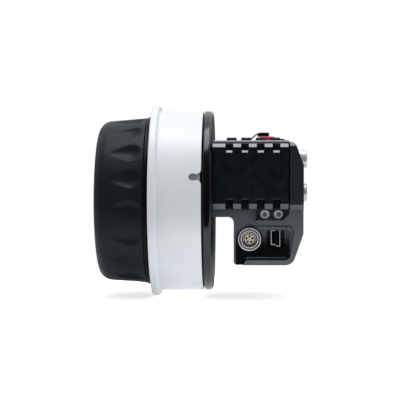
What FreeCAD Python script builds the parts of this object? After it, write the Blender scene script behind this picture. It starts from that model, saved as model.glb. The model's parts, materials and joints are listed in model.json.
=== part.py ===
"""Follow focus hand unit, as an assembly of separate pieces.

Frame: the origin is the mouth of the tripod thread in the middle of the base face,
+X runs from the focus knob to the electronics body, +Y away from the battery side, +Z up.
The knob turns about an axis along X at Z = axis_height. All lengths are millimetres.
"""
import FreeCAD, Part
import math
import os

import Sketcher
from FreeCAD import Placement, Rotation, Vector

# ---------------------------------------------------------------- driving sizes
SIZES = {
    # knob axis and the index disc behind it
    "axis_height": 27.3,
    "disc_back_x": -21.6,
    "disc_depth": 3.8,
    "disc_back_round": 1.7,
    "disc_front_bevel": 0.5,
    "boss_radius": 6.0,
    "boss_length": 10.0,
    "turn_limit": 150.0,
    "stop_radius": 29.0,
    "stop_pin_radius": 1.5,
    "stop_depth": 2.0,
    "stop_side_gap": 0.2,
    # shaft, bearings and encoder
    "shaft_radius": 2.5,
    "bearing_radius": 5.0,
    "bearing_width": 4.0,
    "shaft_gap": 0.03,
    "race_half": 0.7,
    "race_recess": 0.4,
    "bearing_lip": 1.0,
    "overcut": 1.0,
    "shoulder_radius": 3.4,
    "clip_depth": 0.8,
    "clip_radius": 4.2,
    "clip_groove_radius": 1.9,
    "magnet_radius": 2.5,
    "magnet_depth": 2.0,
    "sensor_gap": 1.0,
    "chip_depth": 1.0,
    "board_depth": 1.0,
    # marking ring
    "ring_gap": 0.6,
    "ring_length": 22.4,
    "ring_wall": 2.38,
    "flange_rise": 2.35,
    "lip_clear": 0.1,
    "flange_depth": 3.2,
    "flange_bevel": 0.5,
    "ring_fit": 0.15,
    "ring_pin_radius": 1.3,
    "ring_pin_inset": 3.65,
    "pin_inset": 0.5,
    "ring_pin_angle": 14.85,
    "notch_clear": 0.25,
    "notch_neck": 2.75,
    "notch_funnel": 2.0,
    # knob
    "drum_radius": 37.27,
    "drum_wall": 2.3,
    "drum_rear_gap": 1.2,
    "relief_width": 1.0,
    "relief_depth": 0.8,
    "lip_width": 1.1,
    "grip_length": 21.6,
    "grip_step": 0.44,
    "grip_taper": 1.38,
    "grip_corner": 5.5,
    "grip_wall": 3.2,
    "grip_face": 2.4,
    "barrel_wall": 2.8,
    "barrel_step": 3.0,
    "cap_radius": 22.0,
    "cap_gap": 0.1,
    "cap_flange": 1.5,
    "cap_wall": 2.0,
    "web_depth": 3.0,
    "web_gap": 3.1,
    "hub_radius": 8.0,
    "hub_length": 18.0,
    "hub_gap": 2.0,
    "hub_fit": 0.02,
    "washer_depth": 1.0,
    "washer_step": 1.5,
    "washer_clear": 0.1,
    "shaft_set_back": 0.5,
    "tap_runout": 1.0,
    "dimple_count": 18,
    "dimple_length": 12.9,
    "dimple_rear_gap": 1.7,
    "dimple_ball": 6.5,
    "dimple_lift": 4.9,
    "tail_ball": 2.1,
    "tail_lift": 1.8,
    "felt_inner_radius": 12.0,
    "felt_outer_radius": 17.0,
    "running_gap": 0.05,
    # electronics housing
    "base_left_x": -12.4,
    "housing_right_x": 17.3,
    "housing_far_y": 27.0,
    "housing_near_y": -29.0,
    "neck_z": 20.4,
    "neck_round": 2.5,
    "base_left_chamfer": 0.9,
    "flank_low_x": 12.6,
    "flank_high_z": 13.3,
    "flank_low_round": 4.5,
    "flank_high_round": 6.0,
    "panel_z": 51.95,
    "panel_depth": 1.2,
    "panel_edge": 0.5,
    "left_wall": 3.5,
    "far_wall": 5.0,
    "near_wall_y": -17.0,
    "cavity_floor_z": 8.0,
    "cavity_left_x": -10.4,
    "cavity_right_x": 13.0,
    "shelf_z": 22.4,
    "pilot_gap": 0.05,
    # battery pack and its bay
    "pack_top_z": 51.7,
    "pack_bottom_z": 23.76,
    "pack_near_y": -33.0,
    "pack_depth": 12.0,
    "pack_gap": 0.3,
    "pack_right_x": 10.9,
    "pack_bevel": 1.6,
    "pack_low_bevel": 2.3,
    "notch_pitch": 6.66,
    "notch_width": 3.2,
    "notch_first_x": -14.2,
    "top_notch_height": 2.9,
    "bottom_notch_height": 4.4,
    "pack_notch_depth": 3.6,
    "notch_rib": 0.8,
    "notch_rib_inset": 0.3,
    "ledge_bevel": 1.0,
    "ledge_width": 2.7,
    # end cover
    "cover_left_x": 11.4,
    "cover_seam": 0.1,
    "slant_low_z": 42.6,
    "slant_high_x": 14.1,
    "slant_high_z": 51.15,
    "cover_top_x": 12.9,
    "cover_top_z": 52.3,
    "cover_pocket": 1.9,
    "cover_screw_seat": 1.5,
    "cover_rim": 2.0,
    "far_step": 0.3,
    "crest_left_x": 8.2,
    "crest_z": 54.7,
    "crest_round": 8.0,
    "crest_toe": 1.0,
    "crest_side": 0.6,
    "crest_drop": 0.5,
    "crest_near_y": -6.0,
    # side buttons
    "side_button_radius": 4.0,
    "side_button_y": -3.0,
    "side_button_end_x": 19.7,
    "side_button_low_z": 30.95,
    "side_button_pitch": 14.8,
    "side_flange_radius": 4.6,
    "side_travel": 0.6,
    "button_gap": 0.1,
    "button_flange": 1.0,
    # keys and record button on the top panel
    "key_pitch": 6.33,
    "key_first_x": -13.43,
    "key_y": -12.0,
    "key_width": 4.64,
    "key_length": 6.6,
    "key_height": 1.8,
    "key_straight": 0.2,
    "key_taper": 8.0,
    "key_round": 0.8,
    "key_dish": 0.15,
    "key_dish_radius": 6.0,
    "key_gap": 0.15,
    "key_travel": 0.8,
    "key_flange": 0.6,
    "key_flange_depth": 1.1,
    "record_x": 2.2,
    "record_y": -1.0,
    "record_radius": 3.48,
    "record_height": 2.6,
    "record_flange": 0.9,
    "guard_foot_x": -6.0,
    "guard_top_left_x": -1.2,
    "guard_hood_x": -2.1,
    "guard_strap_drop": 0.8,
    "guard_right_x": 3.05,
    "guard_top_z": 57.6,
    "guard_under_gap": 0.15,
    "guard_arm": 0.6,
    "guard_arc": 10.0,
    "guard_near_y": -0.4,
    "guard_width": 6.0,
    "foot_length": 0.7,
    "switch_base": 3.0,
    "switch_height": 1.5,
    "plunger_radius": 0.75,
    "switch_clear": 0.1,
    "key_board_drop": 4.3,
    "post_radius": 1.3,
    # connector side
    "floor_y": -25.0,
    "raised_left_x": -2.8,
    "recess_top_z": 17.1,
    "recess_right_top_x": 13.9,
    "recess_right_low_x": 11.5,
    "lip_z": 2.1,
    "lip_left_x": -8.0,
    "recess_top_round": 3.2,
    "recess_low_round": 2.6,
    "lip_round": 1.9,
    "floor_round": 2.4,
    "tray_bottom_z": 19.1,
    "tray_floor_y": -23.5,
    "tray_right_x": 11.2,
    "tray_slant": 2.6,
    "tray_screw_x": 0.91,
    "tray_screw_pitch": 5.88,
    "tray_screw_z": 21.6,
    "socket_x": -5.6,
    "socket_z": 10.9,
    "socket_flange_radius": 5.0,
    "socket_flange": 1.2,
    "socket_flange_bevel": 0.2,
    "socket_seat": 0.8,
    "socket_seat_gap": 0.5,
    "socket_groove_radius": 4.4,
    "socket_groove_width": 0.5,
    "socket_groove_depth": 0.5,
    "socket_body_radius": 4.3,
    "socket_bore_radius": 3.35,
    "socket_bore_depth": 6.5,
    "socket_length": 10.5,
    "sleeve_radius": 2.9,
    "sleeve_wall": 0.35,
    "sleeve_leg": 1.0,
    "sleeve_set_back": 0.7,
    "insert_radius": 2.2,
    "insert_set_back": 1.2,
    "contact_circle": 1.33,
    "contact_radius": 0.48,
    "contact_bore": 0.28,
    "contact_bore_depth": 2.4,
    "contact_depth": 3.0,
    "contact_set_back": 0.1,
    "contact_count": 5,
    "usb_x": 5.5,
    "usb_z": 11.66,
    "usb_width": 4.0,
    "usb_height": 7.7,
    "usb_shoulder": 0.75,
    "usb_wall": 0.35,
    "usb_proud": 0.9,
    "usb_length": 9.0,
    "usb_back_wall": 1.0,
    "usb_waist": 0.4,
    "tongue_set_back": 1.2,
    "tongue_depth": 1.0,
    "tongue_height": 5.4,
    "usb_contact_pitch": 0.8,
    "usb_contact_width": 0.4,
    "usb_contact_thick": 0.15,
    "usb_contact_length": 5.4,
    "usb_contact_set_back": 0.3,
    "usb_contact_count": 5,
    "well_width": 7.6,
    "well_height": 9.8,
    "well_depth": 1.5,
    "well_round": 1.8,
    "fit_gap": 0.05,
    # tripod thread in the base
    "thread_radius": 2.6,
    "thread_depth": 6.0,
    "insert_outer_radius": 4.5,
    # boards and small hardware
    "main_board_z": 12.0,
    "board_edge_gap": 1.0,
    "board_near_gap": 3.0,
    "post_inset": 2.0,
    "processor_side": 8.0,
    "shield_length": 12.0,
    "coil_side": 5.0,
    "key_board_margin": 4.0,
    "key_board_right_margin": 2.0,
    "key_board_length": 22.0,
    "key_post_inset": 2.0,
    "key_post_row": 5.5,
    "key_post_right": 0.5,
    "side_board_half": 5.0,
    "side_board_margin": 3.5,
    "side_post_reach": 3.5,
    "sensor_side": 5.0,
    "screw_head_radius": 2.05,
    "screw_head_height": 2.2,
    "screw_shank_radius": 1.0,
    "screw_length": 6.0,
    "head_clear": 0.1,
    "disc_screw_y": 15.0,
    "disc_screw_low_z": 25.0,
    "disc_screw_high_z": 46.0,
    "disc_screw_length": 5.0,
    "cover_screw_low_z": 27.5,
    "cover_screw_high_z": 46.5,
    "encoder_board_half": 11.5,
    "contact_block_x": -12.0,
    "contact_block_z": 33.0,
    "contact_block_width": 14.0,
    "contact_block_height": 5.0,
    "contact_pitch": 3.2,
    "contact_blade": 1.2,
}

# ---------------------------------------------------------------- values worked out from them
PLACES = {
    "disc_front_x": "Size.disc_back_x - Size.disc_depth",
    "boss_end_x": "Size.disc_back_x + Size.boss_length",
    "front_bearing_x": "Place.disc_front_x",
    "rear_bearing_x": "Place.boss_end_x - Size.bearing_width",
    "clip_x": "Place.boss_end_x + Size.running_gap * 4",
    "shaft_end_x": "Place.clip_x + Size.clip_depth * 2.4",
    "magnet_end_x": "Place.shaft_end_x + Size.magnet_depth",
    "chip_x": "Place.magnet_end_x + Size.sensor_gap",
    "encoder_board_x": "Place.chip_x + Size.chip_depth",
    "ring_rear_x": "Place.disc_front_x - Size.ring_gap",
    "ring_front_x": "Place.ring_rear_x - Size.ring_length",
    "ring_bore_radius": "Size.drum_radius + Size.lip_clear",
    "ring_radius": "Place.ring_bore_radius + Size.ring_wall",
    "flange_radius": "Place.ring_radius + Size.flange_rise",
    "disc_radius": "Place.ring_radius",
    "grip_rear_radius": "Size.drum_radius - Size.grip_step",
    "grip_front_radius": "Place.grip_rear_radius - Size.grip_taper",
    "drum_outer_radius": "Size.drum_radius - Size.ring_fit",
    "drum_inner_radius": "Size.drum_radius - Size.drum_wall",
    "drum_rear_x": "Place.disc_front_x - Size.drum_rear_gap",
    "pin_x": "Place.ring_rear_x - Size.ring_pin_inset",
    "lip_rear_x": "Place.ring_front_x - Size.relief_width",
    "grip_rear_x": "Place.lip_rear_x - Size.lip_width",
    "grip_front_x": "Place.grip_rear_x - Size.grip_length",
    "barrel_radius": "Place.grip_front_radius - Size.grip_wall",
    "barrel_inner_radius": "Place.barrel_radius - Size.barrel_wall",
    "barrel_front_x": "Place.grip_front_x + Size.grip_face",
    "web_rear_x": "Place.disc_front_x - Size.web_gap",
    "web_front_x": "Place.web_rear_x - Size.web_depth",
    "hub_rear_x": "Place.disc_front_x - Size.hub_gap",
    "hub_front_x": "Place.hub_rear_x - Size.hub_length",
    "hub_bore_radius": "Size.shaft_radius + Size.hub_fit",
    "bay_floor_z": "Size.pack_bottom_z - Size.pack_gap",
    "pack_left_x": "Size.disc_back_x + Size.pack_gap",
    "pack_far_y": "Size.pack_near_y + Size.pack_depth",
    "bay_wall_y": "Place.pack_far_y + Size.pack_gap",
    "far_cavity_y": "Size.housing_far_y - Size.far_wall",
    "panel_top_z": "Size.panel_z + Size.panel_depth",
    "cover_x": "Size.cover_left_x + Size.cover_seam",
    "cover_inner_x": "Place.cover_x + Size.cover_pocket",
    "key_top_z": "Place.panel_top_z + Size.key_height",
    "key_flange_top_z": "Size.panel_z - Size.running_gap",
    "key_flange_z": "Place.key_flange_top_z - Size.key_flange_depth",
    "key_board_top_z": "Size.panel_z - Size.key_board_drop",
    "key_board_z": "Place.key_board_top_z - Size.board_depth",
    "plunger_top_z": "Place.key_flange_z - Size.key_travel - Size.switch_clear",
    "record_top_z": "Place.panel_top_z + Size.record_height",
    "guard_under_z": "Place.record_top_z + Size.guard_under_gap",
    "side_flange_x": "Place.cover_inner_x - Size.button_gap - Size.button_flange",
    "side_plunger_x": "Place.side_flange_x - Size.side_travel - Size.switch_clear",
    "side_board_x": "Place.side_plunger_x - Size.switch_height - Size.plunger_radius - Size.board_depth",
    "tray_slant_x": "Size.tray_right_x - Size.tray_slant",
    "usb_start_y": "Size.floor_y + Size.well_depth - Size.usb_proud",
    "cover_seat_x": "Place.cover_x + Size.cover_screw_seat",
    "far_edge_y": "Size.housing_far_y - Size.far_step",
    "washer_front_x": "Place.hub_front_x - Size.washer_depth",
    "shaft_front_x": "Place.hub_front_x + Size.shaft_set_back",
}

doc = FreeCAD.newDocument("FollowFocus")
sheet = doc.addObject("Spreadsheet::Sheet", "Size")
place = doc.addObject("App::VarSet", "Place")
nodes = []


def fill_sheet():
    for row, (alias, number) in enumerate(SIZES.items(), start=1):
        sheet.set(f"A{row}", alias)
        sheet.set(f"B{row}", str(number))
        sheet.setAlias(f"B{row}", alias)
    doc.recompute()
    for name, expression in PLACES.items():
        place.addProperty("App::PropertyFloat", name, "Derived")
        place.setExpression(name, expression)
    doc.recompute()


def amount(expression):
    """The present number behind an expression on the sheet."""
    result = place.evalExpression(str(expression))
    return float(getattr(result, "Value", result))


# ---------------------------------------------------------------- drawing helpers
def new_body(label, on_axis=False):
    body = doc.addObject("PartDesign::Body", "Body_" + label)
    body.Label = label
    if on_axis:
        body.setExpression("Placement.Base.z", "Size.axis_height")
    return body


def as_node(piece):
    nodes.append(piece)
    return piece


def sketch_on(body, name, role, offset=None):
    """A sketch on one of the body's origin planes, moved along the plane's normal."""
    plane = next(item for item in body.Origin.OriginFeatures if item.Role == role)
    drawing = body.newObject("Sketcher::SketchObject", name)
    drawing.AttachmentSupport = [(plane, "")]
    drawing.MapMode = "FlatFace"
    if offset is not None:
        drawing.setExpression("AttachmentOffset.Base.z", offset)
    return drawing


def bind(drawing, kind, references, expression):
    number = drawing.addConstraint(Sketcher.Constraint(kind, *references, amount(expression)))
    drawing.setExpression(f"Constraints[{number}]", expression)


def bind_point(drawing, curve, end, across, up):
    bind(drawing, "DistanceX", (-1, 1, curve, end), across)
    bind(drawing, "DistanceY", (-1, 1, curve, end), up)


def outline(drawing, points):
    """A closed polygon whose corners are bound to pairs of expressions."""
    corners = [Vector(amount(across), amount(up), 0) for across, up in points]
    first = drawing.GeometryCount
    count = len(points)
    for index in range(count):
        drawing.addGeometry(Part.LineSegment(corners[index], corners[(index + 1) % count]), False)
    for index in range(count):
        following = first + (index + 1) % count
        drawing.addConstraint(Sketcher.Constraint("Coincident", first + index, 2, following, 1))
        bind_point(drawing, first + index, 1, *points[index])


def rectangle(drawing, left, low, right, high):
    outline(drawing, [(left, low), (right, low), (right, high), (left, high)])


def circle(drawing, across, up, radius):
    centre = Vector(amount(across), amount(up), 0)
    number = drawing.addGeometry(Part.Circle(centre, Vector(0, 0, 1), amount(radius)), False)
    bind_point(drawing, number, 3, across, up)
    bind(drawing, "Radius", (number,), radius)


def revolve(body, drawing, name="Turned", degrees=None):
    feature = body.newObject("PartDesign::Revolution", name)
    feature.Profile = drawing
    feature.ReferenceAxis = (drawing, ["H_Axis"])
    feature.Angle = degrees or 360
    feature.Midplane = degrees is not None
    return feature


def pad(body, drawing, length, name="Pad", reverse=False):
    feature = body.newObject("PartDesign::Pad", name)
    feature.Profile = drawing
    feature.setExpression("Length", length)
    feature.Reversed = reverse
    doc.recompute()
    return feature


def pocket(body, drawing, depth, name="Pocket", reverse=False):
    """A pocket, which has to take material away."""
    doc.recompute()
    before = body.Shape.Volume
    feature = body.newObject("PartDesign::Pocket", name)
    feature.Profile = drawing
    feature.setExpression("Length", depth)
    feature.Reversed = reverse
    doc.recompute()
    if not body.Shape.Volume < before - 1e-6:
        raise ValueError(f"{body.Label}: {name} cuts nothing")
    return feature


def edges_where(body, test):
    doc.recompute()
    shape = body.Tip.Shape
    return [f"Edge{index}" for index, edge in enumerate(shape.Edges, start=1) if test(edge)]


def dress(body, kind, name, size, test):
    """A fillet or chamfer on the edges of the tip that pass the test."""
    names = edges_where(body, test)
    if not names:
        raise ValueError(f"{body.Label}: {name} finds no edge")
    base = body.Tip
    feature = body.newObject("PartDesign::" + kind, name)
    feature.Base = (base, names)
    feature.setExpression("Radius" if kind == "Fillet" else "Size", size)
    doc.recompute()
    return feature


def near(number, expression):
    return abs(number - amount(expression)) < 1e-4


def along(edge, axis):
    """True for a straight edge that runs along the named axis."""
    if not isinstance(edge.Curve, Part.Line):
        return False
    return abs(abs(getattr(edge.Curve.Direction, axis)) - 1) < 1e-6


def middle(edge):
    return edge.BoundBox.Center


def ring_edge(edge, x, radius):
    """True for a full circle about the knob axis at this x, with this radius."""
    if not isinstance(edge.Curve, Part.Circle):
        return False
    return near(edge.Curve.Center.x, x) and near(edge.Curve.Radius, radius)


def pattern(body, features, direction, length, count, name="Row"):
    """Equal steps along a line of the first feature's sketch."""
    feature = body.newObject("PartDesign::LinearPattern", name)
    feature.Originals = features
    feature.Direction = direction
    feature.setExpression("Length", length)
    feature.Occurrences = count
    body.Tip = feature
    doc.recompute()
    return feature


def box(label, low, size):
    """A plain block from its low corner and its three lengths, all expressions."""
    block = doc.addObject("Part::Box", "Box_" + label)
    block.Label = label
    for side, expression in zip(("Length", "Width", "Height"), size):
        block.setExpression(side, expression)
    for side, expression in zip("xyz", low):
        block.setExpression("Placement.Base." + side, expression)
    return block


def group(label, shapes):
    """Several separate solids as one node."""
    doc.recompute()
    feature = doc.addObject("Part::Feature", "Group_" + label)
    feature.Label = label
    feature.Shape = Part.Compound(shapes)
    feature.Placement = Placement()
    return as_node(feature)


def cap_screw(master, direction, heads):
    """Copies of a socket-head screw, each with its head's seat at a point of heads."""
    turn = Rotation(Vector(1, 0, 0), direction)
    copies = []
    for head in heads:
        copy = master.Shape.copy()
        copy.Placement = Placement(head, turn)
        copies.append(copy)
    return copies


def screw_master(name, length):
    """A socket-head screw along +X, seat at X = 0, kept out of the nodes."""
    body = new_body(name)
    profile = sketch_on(body, name + "Profile", "XY_Plane")
    outline(profile, [("-Size.screw_head_height", "0"),
                      ("-Size.screw_head_height", "Size.screw_head_radius"),
                      ("0", "Size.screw_head_radius"),
                      ("0", "Size.screw_shank_radius"),
                      (length, "Size.screw_shank_radius"),
                      (length, "0")])
    revolve(body, profile)
    doc.recompute()
    dress(body, "Chamfer", "HeadBevel", "Size.screw_head_height * 0.15",
          lambda edge: ring_edge(edge, "-Size.screw_head_height", "Size.screw_head_radius"))
    socket = sketch_on(body, name + "Socket", "YZ_Plane", "-Size.screw_head_height")
    across = "Size.screw_head_radius * 0.56"
    outline(socket, [(f"{across} * {math.cos(math.radians(60 * turn)):.6f}",
                      f"{across} * {math.sin(math.radians(60 * turn)):.6f}") for turn in range(6)])
    pocket(body, socket, "Size.screw_head_height * 0.55", "Socket", reverse=True)
    return body


# ---------------------------------------------------------------- knob side
# The core is drawn turned by the locating pin's angle, so the stop pin is drawn turned back by it.
STOP_SPOT = ("-Size.stop_radius * sin(Size.ring_pin_angle * 1deg)",
             "Size.stop_radius * cos(Size.ring_pin_angle * 1deg)")


def knob_grip():
    body = new_body("knob_grip", on_axis=True)
    profile = sketch_on(body, "GripProfile", "XZ_Plane")
    outline(profile, [("Place.grip_front_x", "Size.cap_radius"),
                      ("Place.grip_front_x", "Place.grip_front_radius"),
                      ("Place.grip_front_x + Size.grip_corner", "Place.grip_front_radius"),
                      ("Place.grip_rear_x", "Place.grip_rear_radius"),
                      ("Place.grip_rear_x", "Place.barrel_radius"),
                      ("Place.barrel_front_x", "Place.barrel_radius"),
                      ("Place.barrel_front_x", "Size.cap_radius")])
    revolve(body, profile)
    dress(body, "Fillet", "FrontCorner", "Size.grip_corner * 0.996",
          lambda edge: ring_edge(edge, "Place.grip_front_x", "Place.grip_front_radius"))
    drop = sketch_on(body, "TeardropProfile", "XY_Plane")
    draw_teardrop(drop)
    before = body.Shape.Volume
    dimple = body.newObject("PartDesign::Groove", "Teardrop")
    dimple.Profile = drop
    dimple.ReferenceAxis = (drop, ["Edge1"])
    dimple.Angle = 360
    doc.recompute()
    if not body.Shape.Volume < before - 1:
        raise ValueError("the teardrop misses the grip")
    ring = body.newObject("PartDesign::PolarPattern", "Teardrops")
    ring.Originals = [dimple]
    ring.Axis = (profile, ["H_Axis"])
    ring.Angle = 360
    ring.setExpression("Occurrences", "Size.dimple_count")
    body.Tip = ring
    turn_to_pin(body)
    return as_node(body)


def draw_teardrop(drop):
    """A small ball and a large one joined by a cone, in half, turned about their leaning axis.

    The small ball dips just under the grip's surface and the large one well under it, so the cut
    has a blunt, shallow tail towards the front and a round, deep end towards the marking ring.
    The half that is drawn is the outer one, so the seam of the cut stays clear of the rubber.
    """
    slope = ("((Place.grip_rear_radius - Place.grip_front_radius)"
             " / (Size.grip_length - Size.grip_corner))")
    ball_reach = "sqrt(Size.dimple_ball^2 - Size.dimple_lift^2)"
    tail_reach = "sqrt(Size.tail_ball^2 - Size.tail_lift^2)"
    ball_x = f"(Place.grip_rear_x - Size.dimple_rear_gap - {ball_reach})"
    tail_x = f"(Place.grip_rear_x - Size.dimple_rear_gap - Size.dimple_length + {tail_reach})"
    surface = "Place.grip_rear_radius + ({0} - Place.grip_rear_x) * {1} + {2}"
    ball_y = surface.format(ball_x, slope, "Size.dimple_lift")
    tail_y = surface.format(tail_x, slope, "Size.tail_lift")
    ball = Vector(amount(ball_x), amount(ball_y), 0)
    tail = Vector(amount(tail_x), amount(tail_y), 0)
    ball_radius = amount("Size.dimple_ball")
    tail_radius = amount("Size.tail_ball")
    axis = ball - tail
    lean = math.atan2(axis.y, axis.x)
    touch = lean + math.pi - math.acos((ball_radius - tail_radius) / axis.Length)
    ahead = Vector(math.cos(lean), math.sin(lean), 0)
    outward = Vector(math.cos(touch), math.sin(touch), 0)
    small = Part.Circle(tail, Vector(0, 0, 1), tail_radius)
    large = Part.Circle(ball, Vector(0, 0, 1), ball_radius)
    drop.addGeometry(Part.LineSegment(ball + ahead * ball_radius, tail - ahead * tail_radius), False)
    drop.addGeometry(Part.ArcOfCircle(small, touch, lean + math.pi), False)
    drop.addGeometry(Part.LineSegment(tail + outward * tail_radius, ball + outward * ball_radius), False)
    drop.addGeometry(Part.ArcOfCircle(large, lean, touch), False)
    drop.addConstraint(Sketcher.Constraint("Coincident", 0, 2, 1, 2))
    drop.addConstraint(Sketcher.Constraint("Tangent", 1, 1, 2, 1))
    drop.addConstraint(Sketcher.Constraint("Tangent", 2, 2, 3, 2))
    drop.addConstraint(Sketcher.Constraint("Coincident", 3, 1, 0, 1))
    drop.addConstraint(Sketcher.Constraint("PointOnObject", 1, 3, 0))
    drop.addConstraint(Sketcher.Constraint("PointOnObject", 3, 3, 0))
    bind_point(drop, 1, 3, tail_x, tail_y)
    bind_point(drop, 3, 3, ball_x, ball_y)
    bind(drop, "Radius", (1,), "Size.tail_ball")
    bind(drop, "Radius", (3,), "Size.dimple_ball")


def knob_core():
    body = new_body("knob_core", on_axis=True)
    profile = sketch_on(body, "CoreProfile", "XY_Plane")
    outline(profile, [("Place.hub_front_x", "Place.hub_bore_radius"),
                      ("Place.hub_front_x", "Size.hub_radius"),
                      ("Place.web_front_x", "Size.hub_radius"),
                      ("Place.web_front_x", "Place.drum_inner_radius"),
                      ("Place.grip_rear_x + Size.barrel_step", "Place.drum_inner_radius"),
                      ("Place.grip_rear_x + Size.barrel_step", "Place.barrel_inner_radius"),
                      ("Place.barrel_front_x + Size.cap_flange", "Place.barrel_inner_radius"),
                      ("Place.barrel_front_x + Size.cap_flange", "Place.barrel_radius"),
                      ("Place.grip_rear_x", "Place.barrel_radius"),
                      ("Place.grip_rear_x", "Size.drum_radius"),
                      ("Place.lip_rear_x", "Size.drum_radius"),
                      ("Place.lip_rear_x", "Size.drum_radius - Size.relief_depth"),
                      ("Place.ring_front_x", "Size.drum_radius - Size.relief_depth"),
                      ("Place.ring_front_x", "Place.drum_outer_radius"),
                      ("Place.drum_rear_x", "Place.drum_outer_radius"),
                      ("Place.drum_rear_x", "Place.drum_inner_radius"),
                      ("Place.web_rear_x", "Place.drum_inner_radius"),
                      ("Place.web_rear_x", "Size.hub_radius"),
                      ("Place.hub_rear_x", "Size.hub_radius"),
                      ("Place.hub_rear_x", "Place.hub_bore_radius")])
    revolve(body, profile)
    dress(body, "Chamfer", "LipBevel", "Size.lip_width * 0.25",
          lambda edge: ring_edge(edge, "Place.grip_rear_x", "Size.drum_radius"))
    stop_hole = sketch_on(body, "StopHole", "YZ_Plane", "Place.web_front_x")
    circle(stop_hole, *STOP_SPOT, "Size.stop_pin_radius")
    pocket(body, stop_hole, "Size.web_depth", "StopPinHole", reverse=True)
    pin_hole = sketch_on(body, "PinHole", "XZ_Plane", "Place.drum_inner_radius - Size.overcut")
    circle(pin_hole, "Place.pin_x", "0", "Size.ring_pin_radius")
    pocket(body, pin_hole, "Size.drum_wall + 2 * Size.overcut", "RingPinHole", reverse=True)
    turn_to_pin(body)
    return as_node(body)


def turn_to_pin(piece):
    """Turns a piece about the knob axis so that its -Y side faces the locating pin's angle."""
    piece.Placement = Placement(Vector(0, 0, amount("Size.axis_height")), Rotation(Vector(1, 0, 0), -1))
    piece.setExpression("Placement.Base.z", "Size.axis_height")
    piece.setExpression("Placement.Rotation.Angle", "-Size.ring_pin_angle * 1deg")


def front_cap():
    """The plug in the middle of the knob's front, held behind the rubber by its flange."""
    body = new_body("front_cap", on_axis=True)
    profile = sketch_on(body, "CapProfile", "XY_Plane")
    outline(profile, [("Place.grip_front_x", "0"),
                      ("Place.grip_front_x", "Size.cap_radius - Size.cap_gap"),
                      ("Place.barrel_front_x", "Size.cap_radius - Size.cap_gap"),
                      ("Place.barrel_front_x", "Place.barrel_radius"),
                      ("Place.barrel_front_x + Size.cap_flange", "Place.barrel_radius"),
                      ("Place.barrel_front_x + Size.cap_flange", "Size.cap_radius - Size.cap_wall"),
                      ("Place.barrel_front_x", "Size.cap_radius - Size.cap_wall"),
                      ("Place.barrel_front_x", "0")])
    revolve(body, profile)
    return as_node(body)


def marking_ring():
    body = new_body("marking_ring", on_axis=True)
    profile = sketch_on(body, "RingProfile", "XY_Plane")
    flange_end = "Place.ring_front_x + Size.flange_depth"
    outline(profile, [("Place.ring_front_x", "Place.ring_bore_radius"),
                      ("Place.ring_front_x", "Place.flange_radius"),
                      (flange_end, "Place.flange_radius"),
                      (flange_end, "Place.ring_radius"),
                      ("Place.ring_rear_x", "Place.ring_radius"),
                      ("Place.ring_rear_x", "Place.ring_bore_radius")])
    revolve(body, profile)
    dress(body, "Chamfer", "FlangeBevel", "Size.flange_bevel",
          lambda edge: any(ring_edge(edge, x, "Place.flange_radius")
                           for x in ("Place.ring_front_x", flange_end)))
    dress(body, "Chamfer", "FlangeRoot", "Size.flange_bevel",
          lambda edge: ring_edge(edge, flange_end, "Place.ring_radius"))
    notch = sketch_on(body, "KeyholeNotch", "XZ_Plane", "Place.ring_bore_radius - 3 * Size.overcut")
    draw_keyhole(notch)
    pocket(body, notch, "Place.ring_radius", "Keyhole", reverse=True)
    turn_to_pin(body)
    return as_node(body)


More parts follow.
